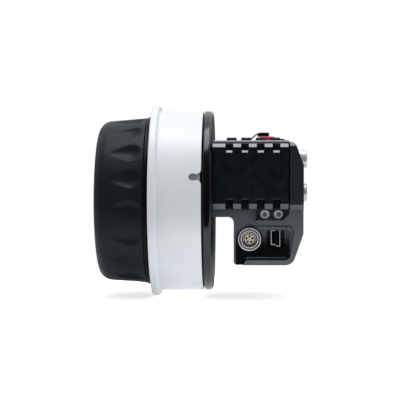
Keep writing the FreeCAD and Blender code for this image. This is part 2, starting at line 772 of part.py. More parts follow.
def draw_keyhole(notch):
    """Round seat about the locating pin, a neck, and two quarter rounds that flare to the rear edge."""
    neck_x = "Place.ring_rear_x - Size.notch_funnel"
    end_x = "Place.ring_rear_x + Size.overcut"
    seat_radius = "Size.ring_pin_radius + Size.notch_clear"
    half_neck = "Size.notch_neck / 2"
    half_mouth = "(Size.notch_neck / 2 + Size.notch_funnel)"
    seat = Vector(amount("Place.pin_x"), 0, 0)
    radius = amount(seat_radius)
    flare = amount("Size.notch_funnel")
    rise = math.asin(amount(half_neck) / radius)
    normal = Vector(0, 0, 1)
    seat_arc = Part.ArcOfCircle(Part.Circle(seat, normal, radius), rise, 2 * math.pi - rise)
    seat_top = seat + Vector(math.cos(rise), math.sin(rise), 0) * radius
    seat_low = Vector(seat_top.x, -seat_top.y, 0)
    neck_top = Vector(amount(neck_x), amount(half_neck), 0)
    neck_low = Vector(neck_top.x, -neck_top.y, 0)
    mouth_top = Vector(amount("Place.ring_rear_x"), amount(half_mouth), 0)
    mouth_low = Vector(mouth_top.x, -mouth_top.y, 0)
    end_top = Vector(amount(end_x), mouth_top.y, 0)
    end_low = Vector(end_top.x, -end_top.y, 0)
    top_centre = Vector(neck_top.x, mouth_top.y, 0)
    low_centre = Vector(neck_top.x, -mouth_top.y, 0)
    notch.addGeometry(seat_arc, False)
    notch.addGeometry(Part.LineSegment(seat_low, neck_low), False)
    notch.addGeometry(Part.ArcOfCircle(Part.Circle(low_centre, normal, flare), 0, math.pi / 2), False)
    notch.addGeometry(Part.LineSegment(mouth_low, end_low), False)
    notch.addGeometry(Part.LineSegment(end_low, end_top), False)
    notch.addGeometry(Part.LineSegment(end_top, mouth_top), False)
    notch.addGeometry(Part.ArcOfCircle(Part.Circle(top_centre, normal, flare), -math.pi / 2, 0), False)
    notch.addGeometry(Part.LineSegment(neck_top, seat_top), False)
    meetings = ((0, 2, 1, 1), (1, 2, 2, 2), (2, 1, 3, 1), (3, 2, 4, 1),
                (4, 2, 5, 1), (5, 2, 6, 2), (6, 1, 7, 1), (7, 2, 0, 1))
    for meeting in meetings:
        notch.addConstraint(Sketcher.Constraint("Coincident", *meeting))
    bind_point(notch, 0, 3, "Place.pin_x", "0")
    bind(notch, "Radius", (0,), seat_radius)
    bind(notch, "DistanceY", (-1, 1, 0, 1), half_neck)
    bind(notch, "DistanceY", (-1, 1, 0, 2), f"-({half_neck})")
    bind_point(notch, 1, 2, neck_x, f"-({half_neck})")
    bind_point(notch, 3, 1, "Place.ring_rear_x", f"-{half_mouth}")
    bind_point(notch, 3, 2, end_x, f"-{half_mouth}")
    bind_point(notch, 4, 2, end_x, half_mouth)
    bind_point(notch, 5, 2, "Place.ring_rear_x", half_mouth)
    bind_point(notch, 7, 1, neck_x, half_neck)
    bind(notch, "Radius", (2,), "Size.notch_funnel")
    bind(notch, "Radius", (6,), "Size.notch_funnel")


def ring_pin():
    body = new_body("ring_pin", on_axis=True)
    drawing = sketch_on(body, "PinCircle", "XZ_Plane", "Place.drum_inner_radius - Size.pin_inset")
    circle(drawing, "Place.pin_x", "0", "Size.ring_pin_radius")
    pad(body, drawing, "Place.ring_radius - Place.drum_inner_radius", "Pin")
    turn_to_pin(body)
    return as_node(body)


def stop_pin():
    body = new_body("stop_pin", on_axis=True)
    drawing = sketch_on(body, "PinCircle", "YZ_Plane", "Place.web_front_x")
    circle(drawing, *STOP_SPOT, "Size.stop_pin_radius")
    pad(body, drawing, "Size.web_depth + Size.web_gap + Size.stop_depth * 0.8", "Pin")
    turn_to_pin(body)
    return as_node(body)


def knob_shaft():
    body = new_body("knob_shaft", on_axis=True)
    profile = sketch_on(body, "ShaftProfile", "XY_Plane")
    front = "Place.shaft_front_x"
    tap = "Size.screw_shank_radius"
    tap_end = "Place.hub_front_x + Size.screw_length + Size.tap_runout"
    shoulder_end = "Place.disc_front_x - Size.running_gap"
    clip_end = "Place.clip_x + Size.clip_depth"
    outline(profile, [(front, tap),
                      (front, "Size.shaft_radius"),
                      ("Place.hub_rear_x", "Size.shaft_radius"),
                      ("Place.hub_rear_x", "Size.shoulder_radius"),
                      (shoulder_end, "Size.shoulder_radius"),
                      (shoulder_end, "Size.shaft_radius"),
                      ("Place.clip_x", "Size.shaft_radius"),
                      ("Place.clip_x", "Size.clip_groove_radius"),
                      (clip_end, "Size.clip_groove_radius"),
                      (clip_end, "Size.shaft_radius"),
                      ("Place.shaft_end_x", "Size.shaft_radius"),
                      ("Place.shaft_end_x", "0"),
                      (tap_end, "0"),
                      (tap_end, tap)])
    revolve(body, profile)
    return as_node(body)


def hub_washer():
    body = new_body("hub_washer", on_axis=True)
    profile = sketch_on(body, "WasherProfile", "XY_Plane")
    rectangle(profile, "Place.washer_front_x", "Size.screw_shank_radius + Size.washer_clear",
              "Place.hub_front_x", "Size.hub_radius - Size.washer_step")
    revolve(body, profile)
    return as_node(body)


def hub_screw(master):
    seat = Vector(amount("Place.washer_front_x"), 0, amount("Size.axis_height"))
    return group("hub_screw", cap_screw(master, Vector(1, 0, 0), [seat]))


def shaft_clip():
    body = new_body("shaft_clip", on_axis=True)
    profile = sketch_on(body, "ClipProfile", "XZ_Plane")
    rectangle(profile, "Place.clip_x + Size.hub_fit", "Size.clip_groove_radius",
              "Place.clip_x + Size.clip_depth - Size.hub_fit", "Size.clip_radius")
    revolve(body, profile, degrees=290)
    return as_node(body)


def encoder_magnet():
    body = new_body("encoder_magnet", on_axis=True)
    drawing = sketch_on(body, "MagnetCircle", "YZ_Plane", "Place.shaft_end_x")
    circle(drawing, "0", "0", "Size.magnet_radius")
    pad(body, drawing, "Size.magnet_depth", "Magnet")
    return as_node(body)


def bearing(label, start):
    """A ball bearing with its races drawn as one turned piece, bored to run on the shaft."""
    body = new_body(label, on_axis=True)
    profile = sketch_on(body, "BearingProfile", "XY_Plane")
    end = f"{start} + Size.bearing_width"
    race = "(Size.bearing_radius + Size.shaft_radius) / 2"
    outline(profile, [(start, "Size.shaft_radius + Size.shaft_gap"),
                      (start, f"{race} - Size.race_half"),
                      (f"{start} + Size.race_recess", f"{race} - Size.race_half"),
                      (f"{start} + Size.race_recess", f"{race} + Size.race_half"),
                      (start, f"{race} + Size.race_half"),
                      (start, "Size.bearing_radius"),
                      (end, "Size.bearing_radius"),
                      (end, "Size.shaft_radius + Size.shaft_gap")])
    revolve(body, profile)
    return as_node(body)


def index_disc():
    body = new_body("index_disc", on_axis=True)
    profile = sketch_on(body, "DiscProfile", "XY_Plane")
    front_seat = "Place.front_bearing_x + Size.bearing_width"
    outline(profile, [("Place.disc_front_x", "Size.bearing_radius"),
                      ("Place.disc_front_x", "Place.disc_radius"),
                      ("Size.disc_back_x", "Place.disc_radius"),
                      ("Size.disc_back_x", "Size.boss_radius"),
                      ("Place.boss_end_x", "Size.boss_radius"),
                      ("Place.boss_end_x", "Size.bearing_radius"),
                      ("Place.rear_bearing_x", "Size.bearing_radius"),
                      ("Place.rear_bearing_x", "Size.bearing_radius - Size.bearing_lip"),
                      (front_seat, "Size.bearing_radius - Size.bearing_lip"),
                      (front_seat, "Size.bearing_radius")])
    revolve(body, profile)
    dress(body, "Fillet", "BackRound", "Size.disc_back_round",
          lambda edge: ring_edge(edge, "Size.disc_back_x", "Place.disc_radius"))
    dress(body, "Chamfer", "FrontBevel", "Size.disc_front_bevel",
          lambda edge: ring_edge(edge, "Place.disc_front_x", "Place.disc_radius"))
    track = sketch_on(body, "StopTrack", "XZ_Plane")
    half_width = "(Size.stop_pin_radius + Size.stop_side_gap)"
    rectangle(track, "Place.disc_front_x - Size.overcut", f"Size.stop_radius - {half_width}",
              "Place.disc_front_x + Size.stop_depth", f"Size.stop_radius + {half_width}")
    doc.recompute()
    groove = body.newObject("PartDesign::Groove", "StopGroove")
    groove.Profile = track
    groove.ReferenceAxis = (track, ["H_Axis"])
    groove.Midplane = True
    groove.setExpression("Angle", "2 * (Size.turn_limit * 1deg + asin(Size.stop_pin_radius"
                                  " / Size.stop_radius) + asin(Size.stop_side_gap / Size.stop_radius))")
    doc.recompute()
    for side, height in disc_screw_spots():
        hole = sketch_on(body, "ScrewHole", "YZ_Plane", "Place.disc_front_x")
        circle(hole, side, f"{height} - Size.axis_height", "Size.screw_shank_radius + Size.fit_gap")
        pocket(body, hole, "Size.disc_depth + Size.overcut", "ScrewHole", reverse=True)
        seat = sketch_on(body, "ScrewSeat", "YZ_Plane", "Place.disc_front_x")
        circle(seat, side, f"{height} - Size.axis_height", "Size.screw_head_radius + Size.head_clear")
        pocket(body, seat, "Size.screw_head_height", "ScrewSeat", reverse=True)
    return as_node(body)


def disc_screw_spots():
    return [(side, height)
            for side in ("Size.disc_screw_y", "-Size.disc_screw_y")
            for height in ("Size.disc_screw_low_z", "Size.disc_screw_high_z")]


def felt_ring():
    body = new_body("felt_ring", on_axis=True)
    profile = sketch_on(body, "FeltProfile", "XY_Plane")
    rectangle(profile, "Place.web_rear_x + Size.running_gap", "Size.felt_inner_radius",
              "Place.disc_front_x", "Size.felt_outer_radius")
    revolve(body, profile)
    return as_node(body)


def disc_screws(master):
    depth = amount("Place.disc_front_x + Size.screw_head_height")
    heads = [Vector(depth, amount(side), amount(height)) for side, height in disc_screw_spots()]
    return group("disc_screws", cap_screw(master, Vector(1, 0, 0), heads))


# ---------------------------------------------------------------- housing
def main_housing():
    body = new_body("main_housing")
    side = sketch_on(body, "SideOutline", "XZ_Plane", "-Size.housing_far_y")
    outline(side, [("Size.disc_back_x", "Size.neck_z"),
                   ("Size.base_left_x", "Size.neck_z"),
                   ("Size.base_left_x", "0"),
                   ("Size.flank_low_x", "0"),
                   ("Size.housing_right_x", "Size.flank_high_z"),
                   ("Size.housing_right_x", "Place.bay_floor_z"),
                   ("Size.cover_left_x", "Place.bay_floor_z"),
                   ("Size.cover_left_x", "Size.panel_z"),
                   ("Size.disc_back_x", "Size.panel_z")])
    pad(body, side, "Size.housing_far_y - Size.housing_near_y", "Block")
    upright = (("Size.base_left_x", "Size.neck_z", "Fillet", "Size.neck_round"),
               ("Size.base_left_x", "0", "Chamfer", "Size.base_left_chamfer"),
               ("Size.flank_low_x", "0", "Fillet", "Size.flank_low_round"),
               ("Size.housing_right_x", "Size.flank_high_z", "Fillet", "Size.flank_high_round"))
    for number, (across, up, kind, size) in enumerate(upright):
        dress(body, kind, f"OutlineCorner{number}", size,
              lambda edge: along(edge, "y") and near(middle(edge).x, across) and near(middle(edge).z, up))

    bay = sketch_on(body, "BatteryBay", "XZ_Plane", "-Size.housing_near_y")
    rectangle(bay, "Size.disc_back_x - Size.overcut", "Place.bay_floor_z",
              "Size.cover_left_x + Size.overcut", "Size.panel_z + Size.overcut")
    pocket(body, bay, "Place.bay_wall_y - Size.housing_near_y", "Bay")

    deep = sketch_on(body, "DeepCavity", "XY_Plane", "Size.panel_z")
    rectangle(deep, "Size.cavity_left_x", "Size.near_wall_y", "Size.cavity_right_x", "Place.far_cavity_y")
    pocket(body, deep, "Size.panel_z - Size.cavity_floor_z", "DeepCavity")
    shallow = sketch_on(body, "ShallowCavity", "XY_Plane", "Size.panel_z")
    rectangle(shallow, "Size.disc_back_x + Size.left_wall", "Size.near_wall_y",
              "Size.cavity_left_x + Size.overcut", "Place.far_cavity_y")
    pocket(body, shallow, "Size.panel_z - Size.shelf_z", "ShallowCavity")

    boss = sketch_on(body, "BossHole", "YZ_Plane", "Size.disc_back_x")
    circle(boss, "0", "Size.axis_height", "Size.boss_radius + Size.pilot_gap")
    pocket(body, boss, "Size.boss_length + Size.overcut", "BossHole", reverse=True)
    for spot_y, spot_z in disc_screw_spots():
        hole = sketch_on(body, "DiscScrewHole", "YZ_Plane", "Size.disc_back_x")
        circle(hole, spot_y, spot_z, "Size.screw_shank_radius")
        pocket(body, hole, "Size.left_wall + Size.overcut", "DiscScrewHole", reverse=True)
    for spot_y, spot_z in cover_screw_spots():
        hole = sketch_on(body, "CoverScrewHole", "YZ_Plane", "Size.cover_left_x")
        circle(hole, spot_y, spot_z, "Size.screw_shank_radius")
        pocket(body, hole, "Size.screw_length", "CoverScrewHole")
    connector_face(body)
    thread = sketch_on(body, "ThreadSeat", "XY_Plane")
    circle(thread, "0", "0", "Size.insert_outer_radius")
    pocket(body, thread, "Size.thread_depth", "ThreadSeat", reverse=True)
    slot = sketch_on(body, "ContactSlot", "XZ_Plane", "-Place.bay_wall_y")
    contact_window(slot, "Size.fit_gap")
    pocket(body, slot, "Size.near_wall_y - Place.bay_wall_y", "ContactSlot")
    return as_node(body)


def contact_window(drawing, gap):
    half_width = f"(Size.contact_block_width / 2 + {gap})"
    half_height = f"(Size.contact_block_height / 2 + {gap})"
    rectangle(drawing, f"Size.contact_block_x - {half_width}", f"Size.contact_block_z - {half_height}",
              f"Size.contact_block_x + {half_width}", f"Size.contact_block_z + {half_height}")


def cover_screw_spots():
    near_y = "(Place.bay_wall_y + Size.near_wall_y) / 2"
    far_y = "Size.housing_far_y - Size.far_wall / 2"
    return [(side, height)
            for side in (near_y, far_y)
            for height in ("Size.cover_screw_low_z", "Size.cover_screw_high_z")]


def connector_face(body):
    """The stepped front of the base: floor with a raised rim, screw tray, socket and USB seats."""
    step = sketch_on(body, "ConnectorFloor", "XZ_Plane", "-Size.housing_near_y")
    outline(step, [("Size.disc_back_x - Size.overcut", "Place.bay_floor_z + Size.overcut"),
                   ("Size.raised_left_x", "Place.bay_floor_z + Size.overcut"),
                   ("Size.raised_left_x", "Size.recess_top_z"),
                   ("Size.recess_right_top_x", "Size.recess_top_z"),
                   ("Size.recess_right_low_x", "Size.lip_z"),
                   ("Size.lip_left_x", "Size.lip_z"),
                   ("Size.lip_left_x", "-Size.overcut"),
                   ("Size.disc_back_x - Size.overcut", "-Size.overcut")])
    pocket(body, step, "Size.floor_y - Size.housing_near_y", "ConnectorFloor")
    corners = (("Size.raised_left_x", "Size.recess_top_z", "Size.lip_round"),
               ("Size.recess_right_top_x", "Size.recess_top_z", "Size.recess_top_round"),
               ("Size.recess_right_low_x", "Size.lip_z", "Size.recess_low_round"),
               ("Size.lip_left_x", "Size.lip_z", "Size.lip_round"))
    for number, (across, up, size) in enumerate(corners):
        dress(body, "Fillet", f"RecessCorner{number}", size,
              lambda edge: along(edge, "y") and near(middle(edge).x, across) and near(middle(edge).z, up)
              and middle(edge).y < amount("Size.floor_y"))
    dress(body, "Fillet", "FloorRound", "Size.floor_round",
          lambda edge: along(edge, "x") and near(middle(edge).y, "Size.floor_y")
          and near(middle(edge).z, "Size.lip_z"))
    tray = sketch_on(body, "ScrewTray", "XZ_Plane", "-Size.housing_near_y")
    outline(tray, [("Size.raised_left_x", "Size.tray_bottom_z"),
                   ("Place.tray_slant_x", "Size.tray_bottom_z"),
                   ("Size.tray_right_x", "Size.tray_screw_z"),
                   ("Size.tray_right_x", "Place.bay_floor_z + Size.overcut"),
                   ("Size.raised_left_x", "Place.bay_floor_z + Size.overcut")])
    pocket(body, tray, "Size.tray_floor_y - Size.housing_near_y", "ScrewTray")
    for number in range(2):
        hole = sketch_on(body, "TrayScrewHole", "XZ_Plane", "-Size.tray_floor_y")
        circle(hole, tray_screw_x(number), "Size.tray_screw_z", "Size.screw_shank_radius")
        pocket(body, hole, "Size.screw_length", "TrayScrewHole")
    socket = sketch_on(body, "SocketHole", "XZ_Plane", "-Size.floor_y")
    circle(socket, "Size.socket_x", "Size.socket_z", "Size.socket_body_radius + Size.fit_gap")
    pocket(body, socket, "Size.socket_length + Size.pilot_gap", "SocketHole")
    seat = sketch_on(body, "SocketSeat", "XZ_Plane", "-Size.floor_y")
    circle(seat, "Size.socket_x", "Size.socket_z", "Size.socket_flange_radius + Size.socket_seat_gap")
    pocket(body, seat, "Size.socket_seat", "SocketSeat")
    well = sketch_on(body, "UsbWell", "XZ_Plane", "-Size.floor_y")
    centred_rectangle(well, "Size.usb_x", "Size.usb_z", "Size.well_width / 2", "Size.well_height / 2")
    pocket(body, well, "Size.well_depth", "UsbWell")
    dress(body, "Fillet", "WellCorners", "Size.well_round", lambda edge: along(edge, "y")
          and abs(abs(middle(edge).x - amount("Size.usb_x")) - amount("Size.well_width / 2")) < 1e-4
          and abs(abs(middle(edge).z - amount("Size.usb_z")) - amount("Size.well_height / 2")) < 1e-4)
    slot = sketch_on(body, "UsbSlot", "XZ_Plane", "-Size.floor_y")
    usb_outline(slot, "Size.fit_gap")
    pocket(body, slot, "Place.usb_start_y + Size.usb_length + Size.pilot_gap - Size.floor_y", "UsbSlot")


def tray_screw_x(number):
    return f"Size.tray_screw_x + Size.tray_screw_pitch * {number}"


def centred_rectangle(drawing, across, up, half_width, half_height):
    rectangle(drawing, f"{across} - {half_width}", f"{up} - {half_height}",
              f"{across} + {half_width}", f"{up} + {half_height}")


def usb_outline(drawing, grow):
    """The receptacle's outline: full height on its right side, narrower on its left."""
    half_width = f"(Size.usb_width / 2 + {grow})"
    tall = f"(Size.usb_height / 2 + {grow})"
    short = f"(Size.usb_height / 2 - Size.usb_shoulder + {grow})"
    waist = "Size.usb_x + Size.usb_waist"
    neck = "Size.usb_x + Size.usb_waist - Size.usb_shoulder"
    right = f"Size.usb_x + {half_width}"
    left = f"Size.usb_x - {half_width}"
    outline(drawing, [(right, f"Size.usb_z - {tall}"), (right, f"Size.usb_z + {tall}"),
                      (waist, f"Size.usb_z + {tall}"), (neck, f"Size.usb_z + {short}"),
                      (left, f"Size.usb_z + {short}"), (left, f"Size.usb_z - {short}"),
                      (neck, f"Size.usb_z - {short}"), (waist, f"Size.usb_z - {tall}")])


def top_panel():
    body = new_body("top_panel")
    plate = sketch_on(body, "PanelOutline", "XY_Plane", "Size.panel_z")
    rectangle(plate, "Place.pack_left_x", "Size.housing_near_y", "Size.cover_left_x", "Place.far_edge_y")
    pad(body, plate, "Size.panel_depth", "Plate")
    dress(body, "Chamfer", "PanelEdge", "Size.panel_edge",
          lambda edge: near(middle(edge).z, "Place.panel_top_z"))
    slot = sketch_on(body, "KeySlot", "XY_Plane", "Place.panel_top_z")
    centred_rectangle(slot, "Size.key_first_x", "Size.key_y",
                      "(Size.key_width / 2 + Size.key_gap)", "(Size.key_length / 2 + Size.key_gap)")
    cut = pocket(body, slot, "Size.panel_depth", "KeySlot")
    pattern(body, [cut], (slot, ["H_Axis"]), "Size.key_pitch * 3", 4, "KeySlots")
    hole = sketch_on(body, "RecordHole", "XY_Plane", "Place.panel_top_z")
    circle(hole, "Size.record_x", "Size.record_y", "Size.record_radius + Size.key_gap")
    pocket(body, hole, "Size.panel_depth", "RecordHole")
    return as_node(body)


def soft_key(number):
    body = new_body(f"soft_key_{number + 1}")
    across = f"(Size.key_first_x + Size.key_pitch * {number})"
    flange = sketch_on(body, "Flange", "XY_Plane", "Place.key_flange_z")
    centred_rectangle(flange, across, "Size.key_y",
                      "(Size.key_width / 2 + Size.key_flange)", "(Size.key_length / 2 + Size.key_flange)")
    pad(body, flange, "Size.key_flange_depth", "Flange")
    stem = sketch_on(body, "Stem", "XY_Plane", "Place.key_flange_top_z")
    centred_rectangle(stem, across, "Size.key_y", "Size.key_width / 2", "Size.key_length / 2")
    pad(body, stem, "Place.panel_top_z - Place.key_flange_top_z + Size.key_straight", "Stem")
    cap = sketch_on(body, "Cap", "XY_Plane", "Place.panel_top_z + Size.key_straight")
    centred_rectangle(cap, across, "Size.key_y", "Size.key_width / 2", "Size.key_length / 2")
    crown = pad(body, cap, "Size.key_height - Size.key_straight", "Cap")
    crown.setExpression("TaperAngle", "-Size.key_taper * 1deg")
    dress(body, "Fillet", "CapRound", "Size.key_round", lambda edge: near(middle(edge).z, "Place.key_top_z"))
    dish = sketch_on(body, "Dish", "XZ_Plane", "-(Size.key_y + Size.key_length)")
    circle(dish, across, "Place.key_top_z - Size.key_dish + Size.key_dish_radius", "Size.key_dish_radius")
    pocket(body, dish, "Size.key_length * 2", "Dish", reverse=True)
    return as_node(body)


def record_button():
    body = new_body("record_button")
    flange = sketch_on(body, "Flange", "XY_Plane", "Place.key_flange_z")
    circle(flange, "Size.record_x", "Size.record_y", "Size.record_radius + Size.record_flange")
    pad(body, flange, "Size.key_flange_depth", "Flange")
    cap = sketch_on(body, "Cap", "XY_Plane", "Place.key_flange_top_z")
    circle(cap, "Size.record_x", "Size.record_y", "Size.record_radius")
    pad(body, cap, "Place.record_top_z - Place.key_flange_top_z", "Cap")
    dress(body, "Fillet", "CapRound", "Size.record_height * 0.15",
          lambda edge: near(middle(edge).z, "Place.record_top_z"))
    return as_node(body)


def button_guard():
    """A thin strap that rises from a foot and ends in a thicker hood over the button's far half."""
    body = new_body("button_guard")
    side = sketch_on(body, "GuardOutline", "XZ_Plane", "-(Size.guard_near_y + Size.guard_width)")
    foot_end = "Size.guard_foot_x + Size.foot_length"
    step = "Place.panel_top_z + Size.guard_arm"
    points = [("Size.guard_foot_x", "Place.panel_top_z"), ("Size.guard_foot_x", step),
              ("Size.guard_top_left_x", "Size.guard_top_z"), ("Size.guard_right_x", "Size.guard_top_z"),
              ("Size.guard_right_x", "Place.guard_under_z"), ("Size.guard_hood_x", "Place.guard_under_z"),
              ("Size.guard_hood_x", "Size.guard_top_z - Size.guard_strap_drop"),
              (foot_end, step), (foot_end, "Place.panel_top_z")]
    corners = [Vector(amount(across), amount(up), 0) for across, up in points]
    inner_arc = 6
    bulges = {1: "Size.guard_arc", inner_arc: "Size.guard_arc - Size.guard_arm"}
    for index, start in enumerate(corners):
        end = corners[(index + 1) % len(corners)]
        if index in bulges:
            drawn = bulged(start, end, amount(bulges[index]), index == inner_arc)
        else:
            drawn = Part.LineSegment(start, end)
        side.addGeometry(drawn, False)
    starts = {index: 1 for index in range(len(points))}
    ends = {index: 2 for index in range(len(points))}
    starts[1], ends[1] = 2, 1
    for index in range(len(points)):
        following = (index + 1) % len(points)
        meeting = (index, ends[index], following, starts[following])
        side.addConstraint(Sketcher.Constraint("Coincident", *meeting))
        bind_point(side, index, starts[index], *points[index])
    for index, radius in bulges.items():
        bind(side, "Radius", (index,), radius)
    pad(body, side, "Size.guard_width", "Guard")
    dress(body, "Fillet", "HoodRound", "Size.guard_arm * 0.7",
          lambda edge: along(edge, "y") and near(middle(edge).x, "Size.guard_right_x")
          and near(middle(edge).z, "Size.guard_top_z"))
    return as_node(body)


def bulged(start, end, radius, counter):
    """A short arc from start to end that bulges up and to the left."""
    chord = end - start
    half = chord.Length / 2
    rise = math.sqrt(radius ** 2 - half ** 2)
    normal = Vector(chord.y, -chord.x, 0).normalize()
    if counter:
        normal = normal * -1
    centre = (start + end) * 0.5 + normal * rise
    from_angle = math.atan2(start.y - centre.y, start.x - centre.x)
    to_angle = math.atan2(end.y - centre.y, end.x - centre.x)
    if counter:
        return Part.ArcOfCircle(Part.Circle(centre, Vector(0, 0, 1), radius), from_angle, to_angle)
    return Part.ArcOfCircle(Part.Circle(centre, Vector(0, 0, 1), radius), to_angle, from_angle)


def front_bevels(body, top_z, low_z):
    """The bevels along the top and the bottom of the near face, shared by the pack and the cover."""
    bevels = (("TopBevel", top_z, "Size.pack_bevel"), ("LowBevel", low_z, "Size.pack_low_bevel"))
    for name, height, size in bevels:
        dress(body, "Chamfer", name, size, lambda edge: along(edge, "x")
              and near(middle(edge).y, "Size.pack_near_y") and near(middle(edge).z, height))


def battery_pack():
    body = new_body("battery_pack")
    front = sketch_on(body, "PackOutline", "XZ_Plane", "-Place.pack_far_y")
    rectangle(front, "Place.pack_left_x", "Size.pack_bottom_z", "Size.pack_right_x", "Size.pack_top_z")
    pad(body, front, "Size.pack_depth", "Case")
    front_bevels(body, "Size.pack_top_z", "Size.pack_bottom_z")
    top = sketch_on(body, "TopNotch", "XZ_Plane", "-Size.pack_near_y")
    notch_left = "Size.notch_first_x - Size.notch_width / 2"
    notch_right = "Size.notch_first_x + Size.notch_width / 2"
    rectangle(top, notch_left, "Size.pack_top_z - Size.top_notch_height",
              notch_right, "Size.pack_top_z + Size.overcut")
    top_cut = pocket(body, top, "Size.pack_notch_depth", "TopNotch")
    ledge = sketch_on(body, "Ledge", "YZ_Plane", "Size.notch_first_x - Size.ledge_width / 2")
    ledge_z = "Size.pack_top_z - Size.top_notch_height"
    outline(ledge, [("Size.pack_near_y - 0.5", f"{ledge_z} - Size.ledge_bevel - 0.5"),
                    ("Size.pack_near_y + Size.ledge_bevel + 0.5", f"{ledge_z} + 0.5"),
                    ("Size.pack_near_y - 0.5", f"{ledge_z} + 0.5")])
    ledge_cut = pocket(body, ledge, "Size.ledge_width", "Ledge", reverse=True)
    pattern(body, [top_cut, ledge_cut], (top, ["H_Axis"]), "Size.notch_pitch * 3", 4, "TopNotches")
    low = sketch_on(body, "BottomNotch", "XZ_Plane", "-Size.pack_near_y")
    high_z = "Size.pack_bottom_z + Size.bottom_notch_height"
    rib_left = "Size.notch_first_x - Size.notch_rib / 2"
    rib_right = "Size.notch_first_x + Size.notch_rib / 2"
    rectangle(low, notch_left, "Size.pack_bottom_z - Size.overcut", rib_left, high_z)
    rectangle(low, rib_right, "Size.pack_bottom_z - Size.overcut", notch_right, high_z)
    low_cut = pocket(body, low, "Size.pack_notch_depth", "BottomNotch")
    rib = sketch_on(body, "RibTrim", "XZ_Plane", "-Size.pack_near_y")
    rectangle(rib, rib_left, "Size.pack_bottom_z - Size.overcut", rib_right, high_z)
    rib_cut = pocket(body, rib, "Size.pack_low_bevel + Size.notch_rib_inset", "RibTrim")
    pattern(body, [low_cut, rib_cut], (low, ["H_Axis"]), "Size.notch_pitch * 3", 4, "BottomNotches")
    return as_node(body)


def end_cover():
    """The cheek that closes the housing's right end and borders the battery bay."""
    body = new_body("end_cover")
    side = sketch_on(body, "CoverOutline", "XZ_Plane", "-Size.housing_far_y")
    outline(side, [("Place.cover_x", "Place.bay_floor_z"),
                   ("Size.housing_right_x", "Place.bay_floor_z"),
                   ("Size.housing_right_x", "Size.slant_low_z"),
                   ("Size.slant_high_x", "Size.slant_high_z"),
                   ("Size.cover_top_x", "Size.cover_top_z"),
                   ("Place.cover_x", "Size.cover_top_z")])
    pad(body, side, "Size.housing_far_y - Size.pack_near_y", "Cheek")
    front_bevels(body, "Size.cover_top_z", "Place.bay_floor_z")
    hollow = sketch_on(body, "Hollow", "YZ_Plane", "Place.cover_x")
    rectangle(hollow, "Size.near_wall_y", "Place.bay_floor_z + Size.cover_rim", "Place.far_cavity_y",
              "Size.slant_high_z - Size.crest_drop")
    pocket(body, hollow, "Size.cover_pocket", "Hollow", reverse=True)
    for number in range(2):
        bore = sketch_on(body, "ButtonBore", "YZ_Plane", "Place.cover_x")
        circle(bore, "Size.side_button_y", side_button_z(number), "Size.side_button_radius + Size.button_gap")
        pocket(body, bore, "Size.housing_right_x - Place.cover_x", "ButtonBore", reverse=True)
    for spot_y, spot_z in cover_screw_spots():
        hole = sketch_on(body, "ScrewHole", "YZ_Plane", "Place.cover_x")
        circle(hole, spot_y, spot_z, "Size.screw_shank_radius + Size.fit_gap")
        pocket(body, hole, "Size.housing_right_x - Place.cover_x", "ScrewHole", reverse=True)
        seat = sketch_on(body, "ScrewSeat", "YZ_Plane", "Place.cover_seat_x")
        circle(seat, spot_y, spot_z, "Size.screw_head_radius + Size.head_clear")
        pocket(body, seat, "Size.housing_right_x - Place.cover_x", "ScrewSeat", reverse=True)
    crest(body)
    return as_node(body)


def crest(body):
    """The rounded shoulder that laps over the top panel's right end."""
    shoulder = sketch_on(body, "Crest", "XZ_Plane", "-Place.far_edge_y")
    low_z = "Place.panel_top_z"
    points = [("Size.crest_left_x - Size.crest_toe", low_z), ("Size.crest_left_x", "Size.crest_z"),
              ("Size.slant_high_x - Size.crest_side", "Size.cover_top_z - Size.crest_drop"),
              ("Place.cover_x", "Size.cover_top_z - Size.crest_drop"), ("Place.cover_x", low_z)]
    corners = [Vector(amount(across), amount(up), 0) for across, up in points]
    chord = corners[2] - corners[1]
    radius = amount("Size.crest_round")
    rise = math.sqrt(radius ** 2 - (chord.Length / 2) ** 2)
    centre = (corners[1] + corners[2]) * 0.5 + Vector(chord.y, -chord.x, 0).normalize() * rise
    from_angle = math.atan2(corners[2].y - centre.y, corners[2].x - centre.x)
    to_angle = math.atan2(corners[1].y - centre.y, corners[1].x - centre.x)
    shoulder.addGeometry(Part.LineSegment(corners[0], corners[1]), False)
    arc = Part.ArcOfCircle(Part.Circle(centre, Vector(0, 0, 1), radius), from_angle, to_angle)
    shoulder.addGeometry(arc, False)
    shoulder.addGeometry(Part.LineSegment(corners[2], corners[3]), False)
    shoulder.addGeometry(Part.LineSegment(corners[3], corners[4]), False)
    shoulder.addGeometry(Part.LineSegment(corners[4], corners[0]), False)
    meetings = ((0, 2, 1, 2), (1, 1, 2, 1), (2, 2, 3, 1), (3, 2, 4, 1), (4, 2, 0, 1))
    for meeting in meetings:
        shoulder.addConstraint(Sketcher.Constraint("Coincident", *meeting))
    for curve, end, point in ((0, 1, 0), (0, 2, 1), (2, 1, 2), (3, 1, 3), (4, 1, 4)):
        bind_point(shoulder, curve, end, *points[point])
    bind(shoulder, "Radius", (1,), "Size.crest_round")
    pad(body, shoulder, "Place.far_edge_y - Size.crest_near_y", "Crest")


def side_button_z(number):
    return f"(Size.side_button_low_z + Size.side_button_pitch * {number})"


